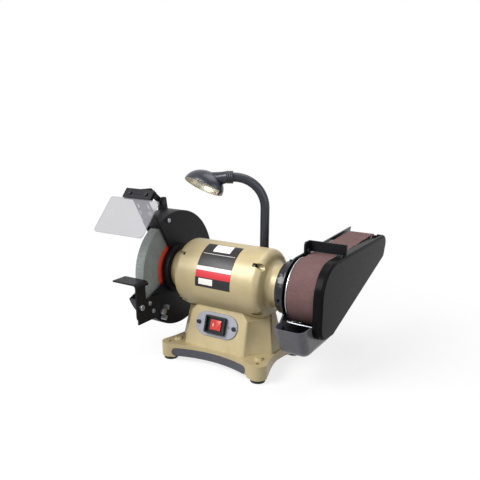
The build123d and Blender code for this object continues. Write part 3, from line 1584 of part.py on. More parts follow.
with BuildPart() as sander_cover:
    with BuildSketch(side_plane(cover_inner)):
        add(cover_outline())
    extrude(amount=cover_depth)
    fillet(sander_cover.edges().group_by(Axis.X)[-1], cover_round)
    with BuildSketch(side_plane(cover_inner)):
        add(cover_outline())
        offset(amount=-cover_wall, mode=Mode.REPLACE)
    extrude(amount=cover_depth - cover_wall, mode=Mode.SUBTRACT)
    # Open notch in the top edge beside the far end of the belt, and the hole of the stop screw
    with BuildSketch(side_plane(cover_inner)):
        with Locations((sum(cover_notch) / 2, cover_top)):
            Rectangle(cover_notch[1] - cover_notch[0], 2 * spacer_radius)
    extrude(amount=cover_notch_depth, mode=Mode.SUBTRACT)
    with BuildSketch(Plane.XY.offset(shaft_height + cover_top)):
        with Locations((stop_screw_x, stop_screw_y)):
            Circle(work_bolt_radius)
    extrude(amount=-cover_wall, mode=Mode.SUBTRACT)
save(sander_cover, "sander_cover")

with BuildPart() as arm_screws:
    with BuildSketch(side_plane(frame_out)):
        with PolarLocations(frame_screw_circle, frame_screw_count, frame_screw_angle):
            Circle(frame_screw_head)
    extrude(amount=lower_wall)
    with BuildSketch(side_plane(frame_out)):
        with PolarLocations(frame_screw_circle, frame_screw_count, frame_screw_angle):
            Circle(frame_screw_radius)
    extrude(amount=arm_collar_in - frame_out + 2 * frame_plate)
    with BuildSketch(side_plane(frame_in)):
        with Locations(*spacer_places):
            Circle(spacer_screw_head)
    extrude(amount=-lower_wall)
    with BuildSketch(side_plane(frame_in)):
        with Locations(*spacer_places):
            Circle(spacer_screw_radius)
    extrude(amount=spacer_screw_length)
    for angle in set_screw_angles:
        out = (cos(radians(angle)), sin(radians(angle)))
        with BuildSketch(Plane(origin=(set_screw_x, (nose_radius + slide_gap) * out[0],
                                       shaft_height + (nose_radius + slide_gap) * out[1]),
                               x_dir=(1, 0, 0), z_dir=(0, *out))):
            Circle(set_screw_radius)
        extrude(amount=set_screw_reach - nose_radius)
    with BuildSketch(side_plane(frame_out + work_rest_thickness + 2 * slide_gap)):
        with Locations(work_bolt_at):
            Circle(work_bolt_head)
    extrude(amount=lower_wall)
    with BuildSketch(side_plane(frame_out + work_rest_thickness + 2 * slide_gap)):
        with Locations(work_bolt_at):
            Circle(work_bolt_radius)
    extrude(amount=-work_rest_thickness - 2 * slide_gap - frame_plate)
    with BuildSketch(Plane.XY.offset(shaft_height + cover_top)):
        with Locations((stop_screw_x, stop_screw_y)):
            Circle(work_bolt_head)
    extrude(amount=stop_screw_height)
    with BuildSketch(Plane.XY.offset(shaft_height + cover_top)):
        with Locations((stop_screw_x, stop_screw_y)):
            Circle(work_bolt_radius)
    extrude(amount=-2 * cover_wall)
    with BuildSketch(side_plane(tray_left + tray_wall)):
        with Locations(*tray_bolt_places):
            Circle(tray_bolt_head)
    extrude(amount=lower_wall / 2)
    with BuildSketch(side_plane(tray_left + tray_wall)):
        with Locations(*tray_bolt_places):
            Circle(tray_bolt_radius)
    extrude(amount=frame_in - tray_left - tray_wall)
    with BuildSketch(arm_plane(slide_right + slide_gap)):
        with Locations(*[(pin, 0) for pin in slide_pins]):
            Circle(slide_pin_head)
    extrude(amount=slide_pin_head_height)
    with BuildSketch(arm_plane(slide_right + slide_gap)):
        with Locations(*[(pin, 0) for pin in slide_pins]):
            Circle(slide_pin_radius)
    extrude(amount=frame_in - slide_right - slide_gap)
save(arm_screws, "arm_screws")

platen_base = upper_normal * (belt_bore - part_gap)

with BuildPart() as platen:
    with BuildSketch(side_plane(frame_out)):
        with BuildLine():
            near = platen_base + upper_run * platen_start
            far = near + upper_run * platen_length
            Polyline(near, far, far - upper_normal * platen_thickness,
                     near - upper_normal * platen_thickness, close=True)
        make_face()
    extrude(amount=belt_right - frame_out)
    with BuildSketch(side_plane(frame_out)):
        with BuildLine():
            Polyline(near, far, far - upper_normal * platen_lip, near - upper_normal * platen_lip, close=True)
        make_face()
    extrude(amount=platen_thickness)
save(platen, "platen")

with BuildPart() as tracking_knob:
    with BuildSketch(arm_plane(frame_in - knob_gap)):
        with Locations((knob_along, 0)):
            Circle(knob_radius)
            with PolarLocations(knob_radius, knob_lobes):
                Circle(knob_flute, mode=Mode.SUBTRACT)
    extrude(amount=-knob_height)
    with BuildSketch(arm_plane(frame_in - knob_gap)):
        with Locations((knob_along, 0)):
            Circle(knob_stem)
    extrude(amount=frame_plate + knob_gap)
save(tracking_knob, "tracking_knob")

with BuildPart() as work_rest:
    with BuildSketch(side_plane(frame_out + slide_gap)):
        with Locations((work_rest_y, work_rest_low)):
            Rectangle(work_rest_thickness, work_rest_height, align=(Align.MIN, Align.MIN))
    extrude(amount=cover_face - work_rest_inset - frame_out - slide_gap)
    with BuildSketch(side_plane(frame_out + slide_gap)):
        with Locations((work_rest_y + work_rest_thickness, work_rest_low - work_rest_ear_drop)):
            Rectangle(work_rest_ear, work_rest_height + work_rest_ear_drop, align=(Align.MAX, Align.MIN))
        fillet(vertices().group_by(Axis.X)[0], 2 * work_rest_thickness)
        with Locations((work_bolt_at[0], work_bolt_at[1] - work_rest_travel / 2)):
            SlotCenterToCenter(work_rest_travel, 2 * (work_bolt_radius + part_gap), rotation=90,
                               mode=Mode.SUBTRACT)
    extrude(amount=work_rest_thickness)
save(work_rest, "work_rest")


with BuildPart() as dust_tray:
    with BuildSketch(side_plane(tray_left)) as tray_side:
        with BuildLine():
            Polyline((tray_lip_y, tray_lip), (tray_shoulder_y, tray_lip), (tray_back_y, tray_back),
                     (tray_back_y, tray_heel), (tray_toe_y, tray_toe), close=True)
        make_face()
        fillet(tray_side.vertices().sort_by_distance((tray_toe_y, tray_toe))[0], tray_round)
    extrude(amount=tray_width)
    side_edges = [edge for face in dust_tray.faces().filter_by(Axis.X) for edge in face.edges()]
    scoop_edges = [edge for edge in side_edges if edge.center().Z < shaft_height + tray_back
                   and edge.center().Y < tray_back_y - tray_edge]
    fillet(scoop_edges, tray_edge)
    mouth = dust_tray.faces().filter_by(lambda face: face.normal_at().Z > 0.5)
    offset(amount=-tray_wall, openings=mouth)
    with BuildSketch(side_plane(tray_left)):
        with Locations(*tray_bolt_places):
            Circle(tray_bolt_radius)
    extrude(amount=tray_wall, mode=Mode.SUBTRACT)
    with BuildSketch(side_plane(tray_left)):
        with Locations((tray_rod_y, tray_rod_height)):
            Circle(tray_rod_radius + flat_gap)
    extrude(amount=tray_width, mode=Mode.SUBTRACT)
save(dust_tray, "dust_tray")

with BuildPart() as tray_rod:
    with BuildSketch(side_plane(frame_in)):
        with Locations((tray_rod_y, tray_rod_height)):
            Circle(tray_rod_radius)
    extrude(amount=cover_face - cover_wall - flat_gap - frame_in)
save(tray_rod, "tray_rod")


# Lamp on a gooseneck
heading = Vector(-cos(radians(lamp_heading)), -sin(radians(lamp_heading)), 0)
goose_plane = Plane(origin=(lamp_x, lamp_y, 0), x_dir=heading, z_dir=(heading.Y, -heading.X, 0))
goose_end = Vector(lamp_x, lamp_y, goose_top) + heading * goose_run
aim = Vector(*lamp_aim).normalized()
rear = Vector(*hood_rear)
rear = (rear - aim * rear.dot(aim)).normalized()
hood_side = Vector(heading.Y, -heading.X, 0)
hood_center = goose_end + heading * hood_ahead + hood_side * hood_aside - Vector(0, 0, hood_drop)
hood_mouth = Plane(origin=hood_center, x_dir=rear, z_dir=aim)
hood_axis = Axis(hood_center, -rear)


def hood_body(inset):
    """Long round back of the lamp head, behind its mouth, drawn in by inset."""
    long_half = hood_half_length - inset
    wide_half = hood_half_width - inset
    with BuildPart() as body:
        with BuildSketch(hood_mouth):
            Ellipse(long_half, wide_half)
            Rectangle(2 * long_half, wide_half, align=(Align.CENTER, Align.MAX), mode=Mode.SUBTRACT)
        revolve(axis=hood_axis, revolution_arc=180)
    return body.part


with BuildPart() as lamp_nut:
    with BuildSketch(Plane.XY.offset(lamp_boss_top)):
        with Locations((lamp_x, lamp_y)):
            RegularPolygon(lamp_nut_radius, 6)
            Circle(goose_radius + flat_gap, mode=Mode.SUBTRACT)
    extrude(amount=lamp_nut_height)
save(lamp_nut, "lamp_nut")

with BuildPart() as gooseneck:
    with BuildLine(goose_plane) as goose_path:
        Line((0, lamp_boss_top), (0, goose_top - goose_bend))
        RadiusArc((0, goose_top - goose_bend), (goose_bend, goose_top), goose_bend)
        Line((goose_bend, goose_top), (goose_run, goose_top))
    with BuildSketch(Plane(origin=(lamp_x, lamp_y, lamp_boss_top), z_dir=(0, 0, 1))):
        Circle(goose_radius)
    sweep(path=goose_path.wire())
    with BuildSketch(Plane.XY.offset(lamp_boss_top)):
        with Locations((lamp_x, lamp_y)):
            Circle(lamp_bush_radius - flat_gap)
    extrude(amount=flat_gap - lamp_bush_depth)
save(gooseneck, "gooseneck")

with BuildPart() as lamp_hood:
    add(hood_body(0.0))
    with BuildSketch(Plane(origin=goose_end, x_dir=(0, 0, 1), z_dir=heading)):
        Circle(neck_radius)
    extrude(amount=neck_length)
    with BuildSketch(Plane(origin=goose_end + heading * neck_length, x_dir=(0, 0, 1), z_dir=heading)):
        Circle(neck_radius)
    with BuildSketch(Plane(origin=hood_center + rear * shoulder_reach - aim * shoulder_depth,
                           x_dir=-aim, z_dir=-rear)):
        Circle(shoulder_radius)
    loft()
    with BuildSketch(hood_mouth):
        Rectangle(4 * hood_half_length, 4 * hood_half_width)
    extrude(amount=hood_half_width, mode=Mode.SUBTRACT)
    add(hood_body(hood_wall), mode=Mode.SUBTRACT)
save(lamp_hood, "lamp_hood")

socket_plane = Plane(origin=hood_center - aim * bulb_depth + rear * bulb_socket, x_dir=aim, z_dir=rear)

with BuildPart() as lamp_reflector:
    add(hood_body(hood_wall + reflector_gap))
    add(hood_body(hood_wall + reflector_gap + reflector_wall), mode=Mode.SUBTRACT)
    with BuildSketch(socket_plane):
        Circle(bulb_socket_radius + flat_gap)
    extrude(amount=hood_half_length, mode=Mode.SUBTRACT)
save(lamp_reflector, "lamp_reflector")

with BuildPart() as lamp_bulb:
    with BuildSketch(socket_plane):
        Circle(bulb_socket_radius)
    extrude(amount=hood_half_length)
    add(hood_body(hood_wall + flat_gap), mode=Mode.INTERSECT)
    with BuildSketch(socket_plane):
        Circle(bulb_radius)
    extrude(amount=-bulb_length)
    fillet(lamp_bulb.edges().sort_by(Axis(hood_center, rear))[0], bulb_radius / 2)
save(lamp_bulb, "lamp_bulb")
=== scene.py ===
from math import cos, radians, sin, tau

import bmesh
import bpy
from mathutils import Matrix, Vector


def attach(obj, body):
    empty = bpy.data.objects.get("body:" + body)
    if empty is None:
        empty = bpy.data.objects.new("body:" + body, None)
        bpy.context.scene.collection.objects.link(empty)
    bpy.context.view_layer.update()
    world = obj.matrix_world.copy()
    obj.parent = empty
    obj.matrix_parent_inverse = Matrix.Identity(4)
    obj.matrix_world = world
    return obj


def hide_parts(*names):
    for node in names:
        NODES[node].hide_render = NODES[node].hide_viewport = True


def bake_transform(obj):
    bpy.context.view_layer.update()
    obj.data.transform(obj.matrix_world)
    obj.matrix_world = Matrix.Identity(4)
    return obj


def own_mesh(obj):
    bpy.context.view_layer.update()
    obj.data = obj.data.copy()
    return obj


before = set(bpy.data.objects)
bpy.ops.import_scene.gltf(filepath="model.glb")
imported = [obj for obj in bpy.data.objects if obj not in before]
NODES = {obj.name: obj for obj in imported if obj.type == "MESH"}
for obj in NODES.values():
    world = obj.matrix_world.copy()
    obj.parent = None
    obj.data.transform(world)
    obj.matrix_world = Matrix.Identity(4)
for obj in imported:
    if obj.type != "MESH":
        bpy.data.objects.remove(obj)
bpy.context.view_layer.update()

bl_info = {
    "name": "Bench grinder with belt sander",
    "version": (1, 0, 0),
    "blender": (4, 5, 0),
    "location": "View3D > Sidebar > Grinder",
    "description": "Dresses the packed bench grinder with its finishes, fine pieces, light and camera",
    "category": "Object",
}

MM = 0.001

# Places that several pieces share, in millimetres.
SHAFT_HEIGHT = 161
GOOSE_FOOT = Vector((34.3, 60, 205.075))
GOOSE_RISE = 82
GOOSE_BEND = 58
GOOSE_RUN = 2

# Level direction in which the gooseneck bends over to the lamp.
LAMP_TURN = radians(30.4)
LAMP_HEADING = Vector((-cos(LAMP_TURN), -sin(LAMP_TURN), 0))

# A wave texture of scale 1 repeats after this length, and a noise texture keeps mostly to this range.
WAVE_PERIOD = tau / 20
NOISE_LOW, NOISE_HIGH = 0.3, 0.7

# Points closer than these are one, and edges sharper than these are hard, on CAD nodes and on new pieces.
NODE_WELD, PIECE_WELD = 0.01 * MM, 0.002 * MM
NODE_EDGE, PIECE_EDGE = radians(50), radians(40)


def hex_colour(code):
    """Linear RGBA of one sRGB hex colour."""
    parts = [int(code[i:i + 2], 16) / 255 for i in (1, 3, 5)]
    linear = [p / 12.92 if p <= 0.04045 else ((p + 0.055) / 1.055) ** 2.4 for p in parts]
    return (*linear, 1.0)


def colour_prop(label, code, words):
    """Colour property whose default is one sRGB hex colour."""
    return bpy.props.FloatVectorProperty(
        name=label, description=words, subtype="COLOR", size=4, min=0, max=1, default=hex_colour(code))


def length_prop(label, millimetres, words):
    """Length property whose default is given in millimetres."""
    return bpy.props.FloatProperty(
        name=label, description=words, subtype="DISTANCE", unit="LENGTH", default=millimetres * MM)


def power_prop(label, watts, words):
    """Power property of one lamp."""
    return bpy.props.FloatProperty(name=label, description=words, unit="POWER", default=watts)


class GrinderColours(bpy.types.PropertyGroup):
    """Colours of the finishes."""
    champagne: colour_prop("Champagne paint", "#B8A880", "Paint on the castings")
    black_coat: colour_prop("Black coat", "#101015", "Powder coat on the guard and its brackets")
    black_enamel: colour_prop("Black enamel", "#15161C", "Enamel on the collar and the sander's back plate")
    cover_black: colour_prop("Cover black", "#131313", "Enamel on the sander's side cover")
    wheel_grey: colour_prop("Wheel grey", "#8B918F", "Abrasive of the wheel")
    blotter_red: colour_prop("Blotter red", "#F0533F", "Paper washers on the wheel")
    belt_brown: colour_prop("Belt brown", "#6B5251", "Abrasive cloth of the belt")
    rocker_red: colour_prop("Rocker red", "#C7362B", "Switch rocker")
    plate_grey: colour_prop("Plate grey", "#8F9199", "Switch plate")
    trim_grey: colour_prop("Trim grey", "#4A4A51", "Strip in the front apron")
    tray_grey: colour_prop("Tray grey", "#57575D", "Dust tray")
    lamp_dark: colour_prop("Lamp dark", "#1D202D", "Lamp hood")
    goose_dark: colour_prop("Gooseneck dark", "#1F212C", "Sheath of the gooseneck")
    shield_grey: colour_prop("Shield haze", "#949499", "Haze of the clear shield")
    label_black: colour_prop("Label black", "#1F1D1F", "Ground of the label")
    label_red: colour_prop("Label red", "#CB2F3A", "Red band of the label")
    label_white: colour_prop("Label white", "#EFECE8", "White fields of the label")


class GrinderPatterns(bpy.types.PropertyGroup):
    """Real sizes of patterns, rounded edges and small relief."""
    paint_peel: length_prop("Paint peel", 1.6, "Width of the bumps in the sprayed paint")
    coat_grain: length_prop("Coat grain", 0.9, "Width of the bumps in the powder coat")
    wheel_grit: length_prop("Wheel grit", 1.4, "Width of the wheel's grain, coarser than real to show")
    belt_grit: length_prop("Belt grit", 0.9, "Width of the belt's grain, coarser than real to show")
    turning: length_prop("Turning marks", 0.6, "Spacing of the lathe marks")
    mould_grain: length_prop("Mould grain", 0.7, "Width of the grain on moulded plastic")
    lamination: length_prop("Lamination", 1.0, "Thickness of the core sheets, coarser than real to show")
    sheet_edge: length_prop("Sheet edge", 0.35, "Rounding on the edges of pressed sheet steel")
    cast_edge: length_prop("Cast edge", 0.7, "Rounding on the edges of castings and mouldings")
    rib_pitch: length_prop("Rib pitch", 4.4, "Spacing of the gooseneck's rings")
    rib_depth: length_prop("Rib depth", 0.22, "Depth of the grooves between the gooseneck's rings")
    crown_height: length_prop("Screw crown", 0.9, "Rise of a screw's domed top")


class GrinderStage(bpy.types.PropertyGroup):
    """Floor, lamps and camera."""
    floor: bpy.props.FloatProperty(name="Floor", description="Side of the floor", unit="LENGTH", default=12.0)
    shadow: bpy.props.FloatProperty(
        name="Shadow", description="Share of the floor near the object that takes its shadow",
        subtype="FACTOR", min=0, max=1, default=0.22)
    key: power_prop("Key light", 47.0, "Power of the key softbox")
    fill: power_prop("Fill light", 11.0, "Power of the fill softbox")
    top: power_prop("Top light", 9.0, "Power of the top softbox")
    sky: bpy.props.FloatProperty(name="Sky", description="Strength of the surrounding light", default=0.12)
    lens: bpy.props.FloatProperty(name="Lens", description="Focal length", unit="CAMERA", default=43.54)


def colours():
    """Colours that the sidebar holds."""
    return bpy.context.scene.grinder_colours


def sizes():
    """Real sizes that the sidebar holds."""
    return bpy.context.scene.grinder_patterns


def feed(node, inputs):
    """Fill or link inputs of one node."""
    for socket, value in inputs.items():
        if isinstance(value, bpy.types.NodeSocket):
            node.id_data.links.new(value, node.inputs[socket])
        else:
            node.inputs[socket].default_value = value


def add_node(tree, kind, inputs=None, **settings):
    """Add one shader node, set its fields, and fill or link its inputs."""
    made = tree.nodes.new(kind)
    for field, value in settings.items():
        setattr(made, field, value)
    feed(made, inputs or {})
    return made


def empty_tree(owner):
    """Cleared node tree of a material or a world."""
    owner.use_nodes = True
    owner.node_tree.nodes.clear()
    return owner.node_tree


def new_material():
    """Node material with its output, its Principled shader and the object coordinates."""
    material = bpy.data.materials.new("finish")
    tree = empty_tree(material)
    shader = add_node(tree, "ShaderNodeBsdfPrincipled")
    add_node(tree, "ShaderNodeOutputMaterial", {"Surface": shader.outputs[0]})
    place = add_node(tree, "ShaderNodeTexCoord").outputs["Object"]
    return material, shader, place


def grey(value):
    """Linear grey of one brightness."""
    return (value, value, value, 1.0)


def shade(colour, factor):
    """The same colour, darker or lighter."""
    return (*(min(1.0, c * factor) for c in colour[:3]), 1.0)


def mottle(place, size, low, high, detail=3.0):
    """Noise of one real size, turned into a colour between low and high."""
    tree = place.id_data
    noise = add_node(tree, "ShaderNodeTexNoise", {"Vector": place, "Scale": 1 / size, "Detail": detail})
    ramp = add_node(tree, "ShaderNodeValToRGB", {"Fac": noise.outputs["Fac"]})
    ends = ramp.color_ramp.elements
    ends[0].position, ends[1].position = NOISE_LOW, NOISE_HIGH
    ends[0].color, ends[1].color = low, high
    return ramp.outputs["Color"]


def tinted(place, size, colour, dark, light, detail=3.0):
    """One colour that wanders between a darker and a lighter shade of itself."""
    return mottle(place, size, shade(colour, dark), shade(colour, light), detail)


def relief(place, size, depth, strength):
    """Bump of one real width and depth."""
    tree = place.id_data
    noise = add_node(tree, "ShaderNodeTexNoise", {"Vector": place, "Scale": 1 / size, "Detail": 2.0})
    bump = add_node(tree, "ShaderNodeBump",
                    {"Height": noise.outputs["Fac"], "Strength": strength, "Distance": depth})
    return bump.outputs["Normal"]


def grey_between(place, size, low, high):
    """Number that wanders between low and high with one real width."""
    tree = place.id_data
    noise = add_node(tree, "ShaderNodeTexNoise", {"Vector": place, "Scale": 1 / size, "Detail": 2.0})
    band = add_node(tree, "ShaderNodeMapRange", {
        "Value": noise.outputs["Fac"], "From Min": NOISE_LOW, "From Max": NOISE_HIGH,
        "To Min": low, "To Max": high})
    return band.outputs["Result"]


def joined(first, second):
    """Two colours multiplied."""
    mix = add_node(first.id_data, "ShaderNodeMix", data_type="RGBA", blend_type="MULTIPLY",
                   inputs={0: 1.0, 6: first, 7: second})
    return mix.outputs[2]


def within(value, low, high):
    """1 where the value lies between two limits, else 0."""
    tree = value.id_data
    above = add_node(tree, "ShaderNodeMath", operation="GREATER_THAN", inputs={0: value, 1: low})
    below = add_node(tree, "ShaderNodeMath", operation="LESS_THAN", inputs={0: value, 1: high})
    both = add_node(tree, "ShaderNodeMath", operation="MULTIPLY",
                    inputs={0: above.outputs[0], 1: below.outputs[0]})
    return both.outputs[0]


def champagne_metallic_paint_sprayed():
    """Metallic paint sprayed on castings: soft broad sheen, faint orange peel, fine flake."""
    material, shader, place = new_material()
    base = tinted(place, 28 * MM, colours().champagne, 0.93, 1.06)
    flake = mottle(place, 0.9 * MM, grey(0.88), grey(1.08), detail=1.0)
    feed(shader, {
        "Base Color": joined(base, flake),
        "Normal": relief(place, sizes().paint_peel, 0.06 * MM, 0.25),
        "Roughness": grey_between(place, 9 * MM, 0.34, 0.42),
        "Metallic": 0.1,
        "Specular IOR Level": 0.5})
    return material


def black_coat(colour, grain, low, high, specular):
    """Black coat on steel: a pebble of one size, and a colour and sheen that wander a little."""
    material, shader, place = new_material()
    feed(shader, {
        "Base Color": tinted(place, 16 * MM, colour, 0.8, 1.3),
        "Normal": relief(place, grain, 0.04 * MM, 0.25),
        "Roughness": grey_between(place, 7 * MM, low, high),
        "Specular IOR Level": specular})
    return material


def satin_black_powder_coat():
    """Powder coat baked on pressed steel: fine pebble and soft, dim highlights."""
    return black_coat(colours().black_coat, sizes().coat_grain, 0.38, 0.48, 0.16)


def gloss_black_enamel_stoved():
    """Enamel stoved on the collar and the sander's plate: deep colour and clear highlights."""
    return black_coat(colours().black_enamel, 3 * sizes().paint_peel, 0.18, 0.26, 0.4)


def satin_charcoal_enamel_stoved():
    """Enamel stoved on the pressed side cover: even charcoal with a low sheen."""
    return black_coat(colours().cover_black, 2 * sizes().paint_peel, 0.24, 0.32, 0.04)


def metal(code, low, high, metallic=1.0):
    """Bare metal whose colour and roughness wander a little: the finish sets its roughness range."""
    material, shader, place = new_material()
    feed(shader, {
        "Base Color": tinted(place, 6 * MM, hex_colour(code), 0.86, 1.1),
        "Roughness": grey_between(place, 3 * MM, low, high),
        "Metallic": metallic})
    return material, shader, place


def steel(code, low, high, mark, metallic=1.0):
    """Metal with fine marks of one real size."""
    material, shader, place = metal(code, low, high, metallic)
    feed(shader, {"Normal": relief(place, mark, 0.02 * MM, 0.2)})
    return material


def ridged(code, low, high, spacing, depth, strength, centre, **wave):
    """Metal with ridges of one real spacing, as rings or bands about a centre."""
    material, shader, place = metal(code, low, high)
    tree = material.node_tree
    centred = add_node(tree, "ShaderNodeMapping", {"Vector": place, "Location": centre})
    ridges = add_node(tree, "ShaderNodeTexWave",
                      {"Vector": centred.outputs[0], "Scale": WAVE_PERIOD / spacing}, **wave)
    bump = add_node(tree, "ShaderNodeBump",
                    {"Height": ridges.outputs["Fac"], "Strength": strength, "Distance": depth})
    feed(shader, {"Normal": bump.outputs["Normal"]})
    return material


def turned(code, low, high):
    """Metal turned about the shaft: rings of lathe marks round X, through the shaft's centre line."""
    return ridged(code, low, high, sizes().turning, 0.02 * MM, 0.15, (0, 0, -SHAFT_HEIGHT * MM),
                  wave_type="RINGS", rings_direction="X")


def bright_steel_turned():
    """Mild steel turned and left bright: clear reflections broken by lathe rings."""
    return turned("#B4B6BA", 0.24, 0.36)


def cast_aluminium_turned():
    """Aluminium casting turned on its rims: paler and softer than steel."""
    return turned("#BCBCBA", 0.34, 0.46)


def bright_steel_drawn():
    """Drawn steel rod and strip: bright, with fine marks."""
    return steel("#B2B4B8", 0.24, 0.34, 0.5 * MM)


def zinc_plated_steel():
    """Zinc plate on screws: pale, slightly blue and a little dull."""
    return steel("#A4A7AC", 0.30, 0.42, 0.8 * MM)


def black_oxide_steel():
    """Black oxide on screws: near black, with an oily sheen."""
    return steel("#2B2C33", 0.32, 0.44, 0.8 * MM, 0.7)


def lacquered_steel_laminations():
    """Stacked sheets of lacquered steel: thin dull lines across the shaft."""
    return ridged("#6A6C70", 0.45, 0.55, sizes().lamination, 0.1 * MM, 0.5, (0, 0, 0),
                  wave_type="BANDS", bands_direction="X")


def enamelled_copper_wire():
    """Copper wire under amber enamel: warm and half dull."""
    return steel("#B4693C", 0.35, 0.45, 0.7 * MM)


def vacuum_plated_reflector():
    """Plastic plated with aluminium in a vacuum: a bright, slightly wavy mirror."""
    return steel("#CFC8B2", 0.30, 0.42, 6 * MM)


def plastic(colour, low, high, specular=0.5):
    """Moulded plastic: even colour, faint grain from the mould, roughness that wanders a little."""
    material, shader, place = new_material()
    feed(shader, {
        "Base Color": tinted(place, 11 * MM, colour, 0.9, 1.1),
        "Roughness": grey_between(place, 8 * MM, low, high),
        "Normal": relief(place, sizes().mould_grain, 0.03 * MM, 0.18),
        "Specular IOR Level": specular,
        "IOR": 1.53})
    return material


def black_rubber_moulded():
    """Rubber moulded for the feet: black and matt."""
    return plastic(hex_colour("#1A1A1C"), 0.6, 0.72, 0.3)


def black_abs_moulded():
    """ABS moulded for the switch frame and knobs: black with a low sheen."""
    return plastic(hex_colour("#141417"), 0.34, 0.44, 0.3)


def grey_abs_trim_moulded():
    """ABS moulded for the apron's strip: slate grey, finely grained."""
    return plastic(colours().trim_grey, 0.46, 0.56, 0.35)


def red_polycarbonate_moulded():
    """Polycarbonate moulded for the rocker: clear red with a soft shine."""
    return plastic(colours().rocker_red, 0.24, 0.32)


def white_ink_printed():
    """White ink printed on the rocker: opaque and matt."""
    return plastic(colours().label_white, 0.5, 0.6)


def charcoal_abs_moulded():
    """ABS moulded for the dust tray: charcoal with a satin shine."""
    return plastic(colours().tray_grey, 0.30, 0.40, 0.45)


def dark_lamp_shell_moulded():
    """Shell of the lamp, moulded and polished: blue-black with clear highlights."""
    return plastic(colours().lamp_dark, 0.22, 0.30, 0.42)


def pvc_sheath_extruded():
    """PVC sheath extruded over the gooseneck: blue-black with a soft shine."""
    return plastic(colours().goose_dark, 0.30, 0.38, 0.4)


def anodised_aluminium_plate():
    """Aluminium plate, blasted and anodised: grey and finely grained."""
    material, shader, place = new_material()
    grain = 0.9 * MM
    feed(shader, {
        "Base Color": tinted(place, grain, colours().plate_grey, 0.8, 1.2, detail=1.0),
        "Roughness": grey_between(place, 4 * MM, 0.44, 0.54),
        "Normal": relief(place, grain, 0.03 * MM, 0.3),
        "Metallic": 0.4})
    return material


def grit(colour, size, depth, low, high):
    """Bonded grain: dark pores and pale crystals of one size, over slow changes of tone."""
    material, shader, place = new_material()
    grain = tinted(place, size, colour, low, high)
    wide = mottle(place, 22 * MM, grey(0.88), grey(1.06))
    feed(shader, {
        "Base Color": joined(grain, wide),
        "Normal": relief(place, size, depth, 0.7),
        "Roughness": 0.85,
        "Specular IOR Level": 0.25})
    return material


def vitrified_aluminium_oxide_fired():
    """Grinding wheel, pressed and fired: open grey grain with dark pores and pale crystals."""
    return grit(colours().wheel_grey, sizes().wheel_grit, 0.25 * MM, 0.6, 1.35)


def aluminium_oxide_cloth_coated():
    """Grit coated on cloth: red-brown and even, with a dull sparkle."""
    return grit(colours().belt_brown, sizes().belt_grit, 0.12 * MM, 0.68, 1.35)


def hazed_polycarbonate_sheet():
    """Clear polycarbonate sheet under its haze: pale grey, and what stands behind it shows dimly."""
    material, shader, place = new_material()
    feed(shader, {
        "Base Color": tinted(place, 30 * MM, colours().shield_grey, 0.96, 1.04),
        "Roughness": grey_between(place, 18 * MM, 0.16, 0.24),
        "Alpha": 0.41,
        "Specular IOR Level": 0.3})
    return material


def clear_polycarbonate_moulded():
    """Clear lens moulded for the lamp: almost unseen, with a sharp shine."""
    material, shader, place = new_material()
    feed(shader, {
        "Base Color": hex_colour("#F2F3F4"),
        "Roughness": grey_between(place, 6 * MM, 0.05, 0.10),
        "Alpha": 0.07})
    return material


def printed_polyester_film():
    """Printed label: black ground with a red and a white band, two blank white fields and a thin line."""
    material, shader, place = new_material()
    tree = material.node_tree
    split = add_node(tree, "ShaderNodeSeparateXYZ", {"Vector": place})
    rise = add_node(tree, "ShaderNodeMath", operation="SUBTRACT",
                    inputs={0: split.outputs["Z"], 1: SHAFT_HEIGHT * MM})
    front = add_node(tree, "ShaderNodeMath", operation="MULTIPLY", inputs={0: split.outputs["Y"], 1: -1.0})
    turn = add_node(tree, "ShaderNodeMath", operation="ARCTAN2",
                    inputs={0: rise.outputs[0], 1: front.outputs[0]})
    colour = tinted(place, 9 * MM, colours().label_black, 0.85, 1.2)
    red, white = colours().label_red, colours().label_white
    # Colour of each field, its ends in millimetres along X and its ends in degrees round the barrel.
    red_band = (red, -50, 50, 10.7, 22.4)
    white_band = (white, -50, 50, 22.4, 29.0)
    lower_field = (white, -33.5, -3.0, -0.9, 9.0)
    upper_field = (white, -21.0, 16.0, 57.5, 75.0)
    thin_line = (white, -38.0, 31.0, 51.6, 52.2)
    for tint, left, right, low, high in (red_band, white_band, lower_field, upper_field, thin_line):
        along = within(split.outputs["X"], left * MM, right * MM)
        around = within(turn.outputs[0], radians(low), radians(high))
        field = add_node(tree, "ShaderNodeMath", operation="MULTIPLY", inputs={0: along, 1: around})
        mix = add_node(tree, "ShaderNodeMix", data_type="RGBA",
                       inputs={0: field.outputs[0], 6: colour, 7: tint})
        colour = mix.outputs[2]
    feed(shader, {
        "Base Color": colour,
        "Roughness": grey_between(place, 10 * MM, 0.36, 0.46),
        "Specular IOR Level": 0.35})
    return material


def blotter_paper_pressed():
    """Blotter paper, pressed: red and matt, with soft fibres."""
    material, shader, place = new_material()
    feed(shader, {
        "Base Color": tinted(place, 1.5 * MM, colours().blotter_red, 0.85, 1.1),
        "Normal": relief(place, 0.8 * MM, 0.05 * MM, 0.3),
        "Roughness": 0.8,
        "Specular IOR Level": 0.3})
    return material


def frosted_glass_blown():
    """Frosted bulb, blown: milky, with a little light through it."""
    material, shader, place = new_material()
    feed(shader, {
        "Base Color": mottle(place, 4 * MM, hex_colour("#E4DDC8"), hex_colour("#F2EEE2")),
        "Roughness": 0.35,
        "Subsurface Weight": 0.2})
    return material


def finish(maker):
    """The material that a finish makes, named for it: made once, shared after that."""
    material = bpy.data.materials.get(maker.__name__)
    if material is None:
        material = maker()
        material.name = maker.__name__
    return material


def dress(maker, *names):
    """Give one finish to the named CAD nodes."""
    for name in names:
        mesh = NODES[name].data
        mesh.materials.clear()
        mesh.materials.append(finish(maker))


